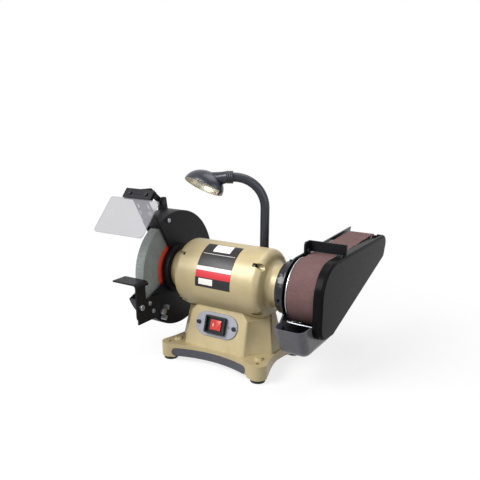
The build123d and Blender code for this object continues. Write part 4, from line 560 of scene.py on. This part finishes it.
def soften(width, *names):
    """Round the hard edges of CAD nodes by a little, so that they catch the light."""
    for name in names:
        weld = NODES[name].modifiers.new("weld", "WELD")
        weld.merge_threshold = NODE_WELD
        edge = NODES[name].modifiers.new("edge", "BEVEL")
        edge.width = width
        edge.segments = 2
        edge.limit_method = "ANGLE"
        edge.angle_limit = NODE_EDGE
        edge.use_clamp_overlap = True
        edge.harden_normals = True


def stand(shell, name, maker):
    """Turn a bmesh into an object of the scene in one finish."""
    mesh = bpy.data.meshes.new(name)
    shell.to_mesh(mesh)
    shell.free()
    mesh.materials.append(finish(maker))
    made = bpy.data.objects.new(name, mesh)
    bpy.context.scene.collection.objects.link(made)
    return made


def piece(shell, name, maker, body):
    """Turn a bmesh into a finished piece in one finish, on one body if one is given."""
    bmesh.ops.remove_doubles(shell, verts=shell.verts, dist=PIECE_WELD)
    bmesh.ops.recalc_face_normals(shell, faces=shell.faces)
    made = stand(shell, name, maker)
    made.data.shade_smooth()
    made.data.set_sharp_from_angle(angle=PIECE_EDGE)
    if body:
        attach(made, body)
    return made


def facing(place, out, up=None):
    """Matrix that carries a shape drawn about the origin, facing +Z, to a place in millimetres."""
    out = Vector(out).normalized()
    turn = out.to_track_quat("Z", "Y").to_matrix()
    if up is not None:
        across = Vector(up).cross(out).normalized()
        turn = Matrix((across, out.cross(across), out)).transposed()
    return Matrix.Translation(Vector(place) * MM) @ turn.to_4x4()


def merge(shell, part, matrix):
    """Add one small bmesh to a larger one, in its place."""
    bmesh.ops.transform(part, matrix=matrix, verts=part.verts)
    carrier = bpy.data.meshes.new("carrier")
    part.to_mesh(carrier)
    part.free()
    shell.from_mesh(carrier)
    bpy.data.meshes.remove(carrier)


def whole(shell):
    """All of a bmesh, for operators that take its geometry."""
    return shell.verts[:] + shell.edges[:] + shell.faces[:]


def corners(geometry):
    """The vertices among what an operator returns."""
    return [v for v in geometry if isinstance(v, bmesh.types.BMVert)]


def round_off(shell, edges, offset, segments):
    """Round the given edges of a bmesh."""
    bmesh.ops.bevel(shell, geom=edges, offset=offset, offset_type="OFFSET", affect="EDGES",
                    segments=segments, profile=0.5, material=-1)


def close_ends(shell):
    """Cap the open ends of a tube."""
    bmesh.ops.holes_fill(shell, edges=[e for e in shell.edges if e.is_boundary])


def screw_crown(radius, height):
    """Domed top of a pan head with a cross recess, drawn on its flat head at the origin."""
    crown = bmesh.new()
    bmesh.ops.create_circle(crown, cap_ends=True, segments=32, radius=radius)
    lifted = bmesh.ops.extrude_face_region(crown, geom=crown.faces[:])
    bmesh.ops.translate(crown, vec=(0, 0, height), verts=corners(lifted["geom"]))
    rim = [e for e in crown.edges if all(v.co.z > height / 2 for v in e.verts)]
    round_off(crown, rim, 0.8 * height, 4)
    # Half width, reach and depth of the cross.
    slot, reach, depth = 0.13 * radius, 0.55 * radius, 0.85 * height
    for normal in ((1, 0, 0), (0, 1, 0)):
        for offset in (-reach, -slot, slot, reach):
            cut = Vector(normal) * offset
            bmesh.ops.bisect_plane(crown, geom=whole(crown), plane_co=cut, plane_no=normal)
    cross = []
    for face in crown.faces:
        middle = face.calc_center_median()
        near, far = sorted((abs(middle.x), abs(middle.y)))
        if middle.z > 0.99 * height and near < slot and far < reach:
            cross.append(face)
    sunk = bmesh.ops.extrude_face_region(crown, geom=cross)
    bmesh.ops.translate(crown, vec=(0, 0, -depth), verts=corners(sunk["geom"]))
    bmesh.ops.delete(crown, geom=cross, context="FACES")
    return crown


def at_sides(x, places):
    """Points at one X from their distance behind the shaft and their height above it."""
    return [(x, y, SHAFT_HEIGHT + z) for y, z in places]


def crowns(name, maker, body, places):
    """One piece of screw crowns on flat heads; each place is a point, a direction and a head's radius."""
    shell = bmesh.new()
    for place, out, radius in places:
        merge(shell, screw_crown(radius * MM, sizes().crown_height), facing(place, out))
    piece(shell, name, maker, body)


class GRINDER_OT_castings(bpy.types.Operator):
    """Paint the base, the motor barrel and its end bells"""
    bl_idname = "grinder.castings"
    bl_label = "Painted castings"

    def execute(self, context):
        dress(champagne_metallic_paint_sprayed,
              "base_casting", "motor_barrel", "end_bell_left", "end_bell_right")
        return {"FINISHED"}


class GRINDER_OT_base_fittings(bpy.types.Operator):
    """Finish the apron strip, the feet, the bottom cover, the gland and their screws"""
    bl_idname = "grinder.base_fittings"
    bl_label = "Base fittings"

    def execute(self, context):
        dress(grey_abs_trim_moulded, "front_trim")
        dress(black_rubber_moulded, "rubber_feet")
        dress(satin_black_powder_coat, "bottom_cover")
        dress(black_abs_moulded, "cable_gland", "capacitor")
        dress(black_oxide_steel, "base_screws", "motor_screws")
        soften(sizes().cast_edge, "rubber_feet", "cable_gland")
        under, down, head = 7.6, (0, 0, -1), 4.0
        heads = [((x, y, under), down, head) for x in (-50, 50) for y in (-59, 59)]
        crowns("cover_screw_crowns", black_oxide_steel, "base", heads)
        return {"FINISHED"}


def on_line():
    """Upright line of ink, drawn about the origin."""
    ink = 0.3 * MM
    line = bmesh.new()
    bmesh.ops.create_cube(line, size=1.0)
    bmesh.ops.scale(line, vec=(1.3 * MM, 6.0 * MM, ink), verts=line.verts)
    upright = [e for e in line.edges if abs(e.verts[0].co.z - e.verts[1].co.z) > ink / 3]
    round_off(line, upright, 0.4 * MM, 3)
    return line


class GRINDER_OT_switch(bpy.types.Operator):
    """Finish the switch plate, its frame and the rocker, with its plain mark"""
    bl_idname = "grinder.switch"
    bl_label = "Switch"

    def execute(self, context):
        dress(anodised_aluminium_plate, "switch_plate")
        dress(black_abs_moulded, "switch_bezel")
        dress(red_polycarbonate_moulded, "switch_rocker")
        soften(sizes().sheet_edge, "switch_bezel", "switch_rocker")
        # The plate leans back: the way out of it, the way up it and the middle of its outer face.
        out = Vector((0, -0.951808, 0.306694))
        up = Vector((0, 0.306694, 0.951808))
        face = Vector((-5, -50.2017, 78.7667))
        head, top, half_spacing = 4.0, face + 2.4 * out, Vector((39, 0, 0))
        crowns("plate_screw_crowns", black_oxide_steel, "base",
               [(top + side * half_spacing, out, head) for side in (-1, 1)])
        # The rocker stands tilted by its throw, and its two faces lean towards its middle by as much.
        tilt, pivot_depth = radians(7), 5
        along = Vector((cos(tilt), 0, 0)) - out * sin(tilt)
        rise = out * cos(tilt) + Vector((sin(tilt), 0, 0))
        pivot = face - pivot_depth * out
        # The line, for on, lies on the face to the left of the pivot.
        aside, height = 5.5, 8.36
        lean = rise * cos(tilt) + along * sin(tilt)
        shell = on_line()
        place = facing(pivot - aside * along + height * rise, lean, up)
        bmesh.ops.transform(shell, matrix=place, verts=shell.verts)
        piece(shell, "rocker_marks", white_ink_printed, "rocker")
        return {"FINISHED"}


class GRINDER_OT_label(bpy.types.Operator):
    """Print the label on the barrel in plain bands and blank fields"""
    bl_idname = "grinder.label"
    bl_label = "Label"

    def execute(self, context):
        dress(printed_polyester_film, "rating_label")
        return {"FINISHED"}


class GRINDER_OT_motor_inside(bpy.types.Operator):
    """Finish the core, the windings and the bearings inside the motor"""
    bl_idname = "grinder.motor_inside"
    bl_label = "Motor inside"

    def execute(self, context):
        dress(lacquered_steel_laminations, "stator_core", "rotor_core")
        dress(enamelled_copper_wire, "stator_windings")
        dress(bright_steel_turned, "bearing_outer_races", "bearing_inner_races", "arbor_shaft")
        return {"FINISHED"}


class GRINDER_OT_wheel(bpy.types.Operator):
    """Finish the grinding wheel with its blotters, flanges and nuts"""
    bl_idname = "grinder.wheel"
    bl_label = "Grinding wheel"

    def execute(self, context):
        dress(vitrified_aluminium_oxide_fired, "grinding_wheel")
        dress(blotter_paper_pressed, "wheel_blotters")
        dress(bright_steel_turned, "wheel_flanges", "arbor_nuts")
        soften(sizes().cast_edge, "grinding_wheel", "wheel_flanges")
        soften(sizes().sheet_edge, "arbor_nuts")
        return {"FINISHED"}


class GRINDER_OT_guard(bpy.types.Operator):
    """Finish the wheel guard and its spark arrestor, with their screws"""
    bl_idname = "grinder.guard"
    bl_label = "Wheel guard"

    def execute(self, context):
        dress(satin_black_powder_coat, "guard_drum", "guard_cover", "spark_arrestor")
        dress(zinc_plated_steel, "guard_screws")
        soften(sizes().sheet_edge, "guard_drum", "guard_cover", "spark_arrestor")
        inward, outward = (1, 0, 0), (-1, 0, 0)
        sheet_head, bolt_head, rim_head, slot_head = 4.2, 5.5, 3.6, 4.4
        plate_screw = at_sides(-124.5, [(-31, 101)])
        post_screws = at_sides(-175, [(9, 92), (9, 106)])
        bracket_screws = at_sides(-121.5, [(-100, -46), (-90, -64)])
        rest_bolt = at_sides(-116.6, [(-127, -46)])
        rim_radius, rim_angles = 109.5, [radians(a) for a in (62, -20, -125)]
        rim_screws = at_sides(-171, [(rim_radius * cos(a), rim_radius * sin(a)) for a in rim_angles])
        # The arrestor stands at the top of the guard's opening: the way out from the shaft, and the way
        # that its screws face.
        opening, wheel_middle = radians(60), Vector((-146, 0, SHAFT_HEIGHT))
        along = Vector((0, -cos(opening), sin(opening)))
        below = Vector((0, -sin(opening), -cos(opening)))
        reach, proud, half_spacing = 141, 4.9, Vector((12, 0, 0))
        slot = wheel_middle + reach * along + proud * below
        slot_screws = (slot + half_spacing, slot - half_spacing)
        groups = ((plate_screw, inward, sheet_head), (post_screws, outward, sheet_head),
                  (bracket_screws, inward, sheet_head), (rest_bolt, inward, bolt_head),
                  (rim_screws, outward, rim_head), (slot_screws, below, slot_head))
        heads = [(place, out, head) for places, out, head in groups for place in places]
        crowns("guard_screw_crowns", zinc_plated_steel, "base", heads)
        return {"FINISHED"}


class GRINDER_OT_shield(bpy.types.Operator):
    """Finish the eye shield with its post, arm and strip"""
    bl_idname = "grinder.shield"
    bl_label = "Eye shield"

    def execute(self, context):
        dress(hazed_polycarbonate_sheet, "eye_shield")
        dress(satin_black_powder_coat, "shield_post", "shield_arm", "shield_strip")
        dress(black_oxide_steel, "shield_pin", "strip_screws")
        soften(sizes().sheet_edge, "shield_post", "shield_arm", "shield_strip", "shield_pin")
        lean, head = radians(43), 3.6
        out = Vector((0, -cos(lean), sin(lean)))
        middle, half_spacing = Vector((-143, -96.23, 322.02)), Vector((19, 0, 0))
        crowns("strip_screw_crowns", black_oxide_steel, "shield",
               [(middle + side * half_spacing, out, head) for side in (-1, 1)])
        return {"FINISHED"}


class GRINDER_OT_tool_rest(bpy.types.Operator):
    """Finish the tool rest, its bracket and the wing nut"""
    bl_idname = "grinder.tool_rest"
    bl_label = "Tool rest"

    def execute(self, context):
        dress(satin_black_powder_coat, "tool_rest", "rest_bracket")
        dress(zinc_plated_steel, "wing_nut")
        soften(sizes().sheet_edge, "tool_rest", "rest_bracket", "wing_nut")
        return {"FINISHED"}


class GRINDER_OT_sander(bpy.types.Operator):
    """Finish the belt sander's plate, cover, collar, platen, rest and screws"""
    bl_idname = "grinder.sander"
    bl_label = "Belt sander"

    def execute(self, context):
        dress(gloss_black_enamel_stoved, "sander_frame", "arm_collar")
        dress(satin_charcoal_enamel_stoved, "sander_cover")
        dress(satin_black_powder_coat, "work_rest")
        dress(cast_aluminium_turned, "drive_drum", "idler_roller")
        dress(bright_steel_drawn, "platen", "sander_spacers")
        dress(black_oxide_steel, "arm_screws")
        soften(sizes().sheet_edge, "sander_frame", "work_rest", "platen", "arm_collar")
        inward, upward, spacer_head, stop_head = (-1, 0, 0), (0, 0, 1), 5.0, 4.5
        heads = [(place, inward, spacer_head) for place in at_sides(130, [(78, 2), (168, 18)])]
        heads.append(((202.75, 25, 226.5), upward, stop_head))
        crowns("sander_screw_crowns", black_oxide_steel, "arm", heads)
        # Lip turned in from the cover's far wall, which closes the view past the idler.
        low, high = Vector((186, 247.4, 206)) * MM, Vector((197, 248.8, 218)) * MM
        shell = bmesh.new()
        bmesh.ops.create_cube(shell, size=1.0)
        bmesh.ops.scale(shell, vec=high - low, verts=shell.verts)
        bmesh.ops.translate(shell, vec=(low + high) / 2, verts=shell.verts)
        round_off(shell, shell.edges[:], 0.3 * MM, 2)
        piece(shell, "cover_end_lip", satin_charcoal_enamel_stoved, "arm")
        return {"FINISHED"}


class GRINDER_OT_belt(bpy.types.Operator):
    """Finish the abrasive belt"""
    bl_idname = "grinder.belt"
    bl_label = "Sanding belt"

    def execute(self, context):
        dress(aluminium_oxide_cloth_coated, "sanding_belt")
        return {"FINISHED"}


class GRINDER_OT_tension(bpy.types.Operator):
    """Wind the tension spring and finish the slide, the axle and the knob"""
    bl_idname = "grinder.tension"
    bl_label = "Belt tension"

    def execute(self, context):
        dress(bright_steel_drawn, "tension_slide", "idler_axle", "tension_spring")
        dress(black_abs_moulded, "tracking_knob")
        soften(sizes().sheet_edge, "tension_slide", "idler_axle")
        soften(sizes().cast_edge, "tracking_knob")
        arm_rise = radians(12.6)
        along = Vector((0, cos(arm_rise), sin(arm_rise)))
        shaft, reach = Vector((142.2, 0, SHAFT_HEIGHT)), 126.228
        seat = (shaft + reach * along) * MM
        wire, middle, length = 0.6 * MM, 4.3 * MM, 30 * MM
        turns, steps_per_turn = 9, 20
        steps = steps_per_turn * turns
        shell = bmesh.new()
        ring = bmesh.ops.create_circle(shell, segments=10, radius=wire)["verts"]
        across = facing((0, 0, 0), along.cross((1, 0, 0)), along)
        bmesh.ops.transform(shell, matrix=across, verts=ring)
        bmesh.ops.translate(shell, vec=seat + along * wire + Vector((middle, 0, 0)), verts=ring)
        bmesh.ops.spin(shell, geom=shell.edges[:], cent=seat, axis=along, angle=tau * turns, steps=steps,
                       dvec=along * (length - 2 * wire) / steps, use_merge=False)
        close_ends(shell)
        coil = piece(shell, "tension_spring_coil", bright_steel_drawn, "arm")
        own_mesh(coil)
        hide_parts("tension_spring")
        return {"FINISHED"}


class GRINDER_OT_tray(bpy.types.Operator):
    """Finish the dust tray and its rod"""
    bl_idname = "grinder.tray"
    bl_label = "Dust tray"

    def execute(self, context):
        dress(charcoal_abs_moulded, "dust_tray")
        dress(zinc_plated_steel, "tray_rod")
        soften(sizes().sheet_edge, "dust_tray", "tray_rod")
        return {"FINISHED"}


class GRINDER_OT_gooseneck(bpy.types.Operator):
    """Draw the ringed gooseneck, which bends over to the lamp"""
    bl_idname = "grinder.gooseneck"
    bl_label = "Gooseneck"

    def execute(self, context):
        dress(pvc_sheath_extruded, "gooseneck")
        dress(black_oxide_steel, "lamp_nut")
        soften(sizes().sheet_edge, "lamp_nut")
        foot, radius = GOOSE_FOOT * MM, 8.8 * MM
        rise, bend, run = GOOSE_RISE * MM, GOOSE_BEND * MM, GOOSE_RUN * MM
        axle = foot + Vector((0, 0, rise)) + LAMP_HEADING * bend
        hinge = Vector((0, 0, 1)).cross(LAMP_HEADING)
        shell = bmesh.new()
        ring = bmesh.ops.create_circle(shell, segments=40, radius=radius)["verts"]
        bmesh.ops.translate(shell, vec=foot, verts=ring)
        edges = shell.edges[:]
        # Each step is half a rib long: a crest, then a groove.
        half = sizes().rib_pitch / 2
        straight, curved = round(rise / half), round(radians(90) * bend / half)
        turn = radians(90) / curved
        centre = foot.copy()
        for step in range(1, straight + curved + 2):
            if straight < step <= straight + curved:
                grown = bmesh.ops.spin(shell, geom=edges, cent=axle, axis=hinge, angle=turn, steps=1)
                fresh = grown["geom_last"]
                centre = axle + Matrix.Rotation(turn, 3, hinge) @ (centre - axle)
            else:
                fresh = bmesh.ops.extrude_edge_only(shell, edges=edges)["geom"]
                shift = Vector((0, 0, rise / straight)) if step <= straight else LAMP_HEADING * run
                bmesh.ops.translate(shell, vec=shift, verts=corners(fresh))
                centre = centre + shift
            verts = corners(fresh)
            lines = [e for e in fresh if isinstance(e, bmesh.types.BMEdge)]
            edges = [e for e in lines if all(v in verts for v in e.verts)]
            size = (radius - (sizes().rib_depth if step % 2 else 0)) / (verts[0].co - centre).length
            bmesh.ops.scale(shell, vec=(size, size, size), space=Matrix.Translation(-centre), verts=verts)
        close_ends(shell)
        sheath = piece(shell, "gooseneck_sheath", pvc_sheath_extruded, None)
        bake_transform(sheath)
        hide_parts("gooseneck")
        return {"FINISHED"}


class GRINDER_OT_lamp(bpy.types.Operator):
    """Finish the lamp hood and its reflector, and add its lens, neck rings and tail"""
    bl_idname = "grinder.lamp"
    bl_label = "Lamp"

    def execute(self, context):
        dress(dark_lamp_shell_moulded, "lamp_hood")
        dress(vacuum_plated_reflector, "lamp_reflector")
        dress(frosted_glass_blown, "lamp_bulb")
        # The way the lamp shines, the way along its mouth to the back, and the middle of the mouth.
        aim = Vector((-0.20, -0.55, -0.81)).normalized()
        rear = Vector((0.975, -0.12, -0.12))
        rear = (rear - aim * rear.dot(aim)).normalized()
        aside = Vector((LAMP_HEADING.y, -LAMP_HEADING.x, 0))
        goose_top = GOOSE_FOOT + Vector((0, 0, GOOSE_RISE + GOOSE_BEND))
        goose_end = goose_top + (GOOSE_BEND + GOOSE_RUN) * LAMP_HEADING
        ahead, offset, drop = 57.3, 10.9, Vector((0, 0, 19.1))
        middle = goose_end + ahead * LAMP_HEADING + offset * aside - drop
        # Lens: a shallow clear bowl inside the rim of the mouth.
        shell = bmesh.new()
        bmesh.ops.create_uvsphere(shell, u_segments=48, v_segments=24, radius=1.0)
        bmesh.ops.bisect_plane(shell, geom=whole(shell), plane_co=(0, 0, 0), plane_no=(0, 0, 1),
                               clear_inner=True)
        half_length, half_width, bulge, wall = 41.6 * MM, 28.6 * MM, 3.5 * MM, 0.8 * MM
        bmesh.ops.scale(shell, vec=(half_length, half_width, bulge), verts=shell.verts)
        bmesh.ops.solidify(shell, geom=shell.faces[:], thickness=wall)
        inset = 1.2
        seat = facing(middle - inset * aim, aim, aim.cross(rear))
        bmesh.ops.transform(shell, matrix=seat, verts=shell.verts)
        piece(shell, "lamp_lens", clear_polycarbonate_moulded, "lamp")
        # Rings: three soft beads round the neck.
        bead_radius, neck_radius = 1.3 * MM, 10.9 * MM
        upright = Matrix.Rotation(radians(90), 3, "X")
        shell = bmesh.new()
        for along in (2.2, 6.0, 9.8):
            bead = bmesh.new()
            section = bmesh.ops.create_circle(bead, segments=12, radius=bead_radius)["verts"]
            bmesh.ops.rotate(bead, cent=(0, 0, 0), matrix=upright, verts=section)
            bmesh.ops.translate(bead, vec=(neck_radius, 0, 0), verts=section)
            bmesh.ops.spin(bead, geom=bead.edges[:], cent=(0, 0, 0), axis=(0, 0, 1), angle=tau, steps=48,
                           use_merge=True)
            merge(shell, bead, facing(goose_end + along * LAMP_HEADING, LAMP_HEADING))
        piece(shell, "lamp_neck_rings", dark_lamp_shell_moulded, "lamp")
        # Tail: a small tapered tab at the back of the mouth, to turn the lamp by.
        shell = bmesh.new()
        root_size, tip_size, length, flatness = 6.5 * MM, 2.2 * MM, 11 * MM, 0.42
        square = Matrix.Rotation(radians(45), 3, "Z")
        bmesh.ops.create_cone(shell, cap_ends=True, segments=4, radius1=root_size, radius2=tip_size,
                              depth=length)
        bmesh.ops.rotate(shell, cent=(0, 0, 0), matrix=square, verts=shell.verts)
        bmesh.ops.scale(shell, vec=(flatness, 1.0, 1.0), verts=shell.verts)
        round_off(shell, shell.edges[:], 0.6 * MM, 3)
        back, proud = 42.2, 1.5
        root = facing(middle + back * rear + proud * aim, aim, aim.cross(rear))
        bmesh.ops.transform(shell, matrix=root, verts=shell.verts)
        piece(shell, "lamp_tail", dark_lamp_shell_moulded, "lamp")
        return {"FINISHED"}


def seen_ray(tree):
    """Number that is 1 for rays from the camera, off gloss or through glass."""
    path = add_node(tree, "ShaderNodeLightPath")
    first = add_node(tree, "ShaderNodeMath", operation="MAXIMUM",
                     inputs={0: path.outputs["Is Camera Ray"], 1: path.outputs["Is Glossy Ray"]})
    both = add_node(tree, "ShaderNodeMath", operation="MAXIMUM",
                    inputs={0: first.outputs[0], 1: path.outputs["Is Transmission Ray"]})
    return both.outputs[0]


def softbox(name, power, size, place, aim):
    """Square area lamp turned towards a point."""
    lamp = bpy.data.lights.new(name, "AREA")
    lamp.energy = power
    lamp.shape = "SQUARE"
    lamp.size = size
    holder = bpy.data.objects.new(name, lamp)
    holder.location = place
    holder.rotation_euler = (Vector(aim) - Vector(place)).to_track_quat("-Z", "Y").to_euler()
    bpy.context.scene.collection.objects.link(holder)


def white_studio_paper():
    """Matt paper: plain white where it is seen, apart from a share near the object that keeps its shadow."""
    stage = bpy.context.scene.grinder_stage
    material = bpy.data.materials.new("paper")
    tree = empty_tree(material)
    place = add_node(tree, "ShaderNodeTexCoord").outputs["Object"]
    away = add_node(tree, "ShaderNodeVectorMath", {0: place}, operation="LENGTH")
    shadow_start, shadow_end = 0.25, 0.75
    share = add_node(tree, "ShaderNodeMapRange", interpolation_type="SMOOTHSTEP", inputs={
        "Value": away.outputs["Value"], "From Min": shadow_start, "From Max": shadow_end,
        "To Min": 1 - stage.shadow, "To Max": 1.0})
    seen = seen_ray(tree)
    # Rays that aren't seen meet a darker paper, which throws little light back on the object.
    unseen_tone, seen_tone = 0.25, 0.9
    tone = add_node(tree, "ShaderNodeMapRange",
                    {"Value": seen, "To Min": unseen_tone, "To Max": seen_tone})
    matt = add_node(tree, "ShaderNodeBsdfDiffuse", {"Color": tone.outputs["Result"]})
    glow = add_node(tree, "ShaderNodeEmission", {"Color": grey(1), "Strength": 1.0})
    shown = add_node(tree, "ShaderNodeMath", operation="MULTIPLY",
                     inputs={0: seen, 1: share.outputs["Result"]})
    both = add_node(tree, "ShaderNodeMixShader",
                    {0: shown.outputs[0], 1: matt.outputs[0], 2: glow.outputs[0]})
    add_node(tree, "ShaderNodeOutputMaterial", {"Surface": both.outputs[0]})
    return material


def studio_sky():
    """Dim light from all round, which seen rays find plain white."""
    scene = bpy.context.scene
    scene.world = bpy.data.worlds.new("studio_sky")
    tree = empty_tree(scene.world)
    strength = add_node(tree, "ShaderNodeMapRange",
                        {"Value": seen_ray(tree), "To Min": scene.grinder_stage.sky, "To Max": 1.0})
    sky = add_node(tree, "ShaderNodeBackground",
                   {"Color": grey(1), "Strength": strength.outputs["Result"]})
    add_node(tree, "ShaderNodeOutputWorld", {"Surface": sky.outputs[0]})


def photo_camera():
    """Camera fitted to the photograph."""
    scene = bpy.context.scene
    lens = bpy.data.cameras.new("photo_camera")
    lens.lens = scene.grinder_stage.lens
    lens.sensor_width = 36.0
    lens.shift_x = 0.0152
    lens.shift_y = 0.0888
    camera = bpy.data.objects.new("photo_camera", lens)
    aim, distance = Vector((0, 0, 0.150)), 1.1074
    turn, lift = radians(32.3), radians(17.4)
    back = Vector((sin(turn) * cos(lift), -cos(turn) * cos(lift), sin(lift)))
    camera.location = aim + back * distance
    camera.rotation_euler = (-back).to_track_quat("-Z", "Y").to_euler()
    scene.collection.objects.link(camera)
    scene.camera = camera


class GRINDER_OT_stage(bpy.types.Operator):
    """Set up the pale floor, the softboxes and the camera"""
    bl_idname = "grinder.stage"
    bl_label = "Stage"

    def execute(self, context):
        scene = context.scene
        stage = scene.grinder_stage
        shell = bmesh.new()
        bmesh.ops.create_grid(shell, x_segments=1, y_segments=1, size=stage.floor / 2)
        floor = stand(shell, "studio_floor", white_studio_paper)
        studio_sky()
        target = (0, 0, 0.17)
        softbox("key_softbox", stage.key, 1.1, (-0.75, -1.25, 1.35), target)
        softbox("fill_softbox", stage.fill, 1.3, (1.55, -0.55, 0.8), target)
        softbox("top_softbox", stage.top, 1.0, (0.15, 0.35, 1.6), target)
        photo_camera()
        scene.view_settings.view_transform = "Standard"
        return {"FINISHED"}


OPERATORS = (
    GRINDER_OT_castings, GRINDER_OT_base_fittings, GRINDER_OT_switch, GRINDER_OT_label,
    GRINDER_OT_motor_inside, GRINDER_OT_wheel, GRINDER_OT_guard, GRINDER_OT_shield,
    GRINDER_OT_tool_rest, GRINDER_OT_sander, GRINDER_OT_belt, GRINDER_OT_tension,
    GRINDER_OT_tray, GRINDER_OT_gooseneck, GRINDER_OT_lamp, GRINDER_OT_stage)


class GRINDER_PT_panel(bpy.types.Panel):
    """Sidebar panel that lists the steps"""
    bl_idname = "GRINDER_PT_panel"
    bl_label = "Bench grinder"
    bl_space_type = "VIEW_3D"
    bl_region_type = "UI"
    bl_category = "Grinder"

    def draw(self, context):
        for step in OPERATORS:
            self.layout.operator(step.bl_idname)


GROUPS = {
    "grinder_colours": GrinderColours, "grinder_patterns": GrinderPatterns, "grinder_stage": GrinderStage}


def register():
    for group in GROUPS.values():
        bpy.utils.register_class(group)
    for field, group in GROUPS.items():
        setattr(bpy.types.Scene, field, bpy.props.PointerProperty(type=group))
    for step in (*OPERATORS, GRINDER_PT_panel):
        bpy.utils.register_class(step)


def unregister():
    for step in reversed((*OPERATORS, GRINDER_PT_panel)):
        bpy.utils.unregister_class(step)
    for field, group in GROUPS.items():
        delattr(bpy.types.Scene, field)
        bpy.utils.unregister_class(group)


def main():
    register()
    for step in OPERATORS:
        family, action = step.bl_idname.split(".")
        getattr(getattr(bpy.ops, family), action)()


if __name__ == "__main__":
    main()
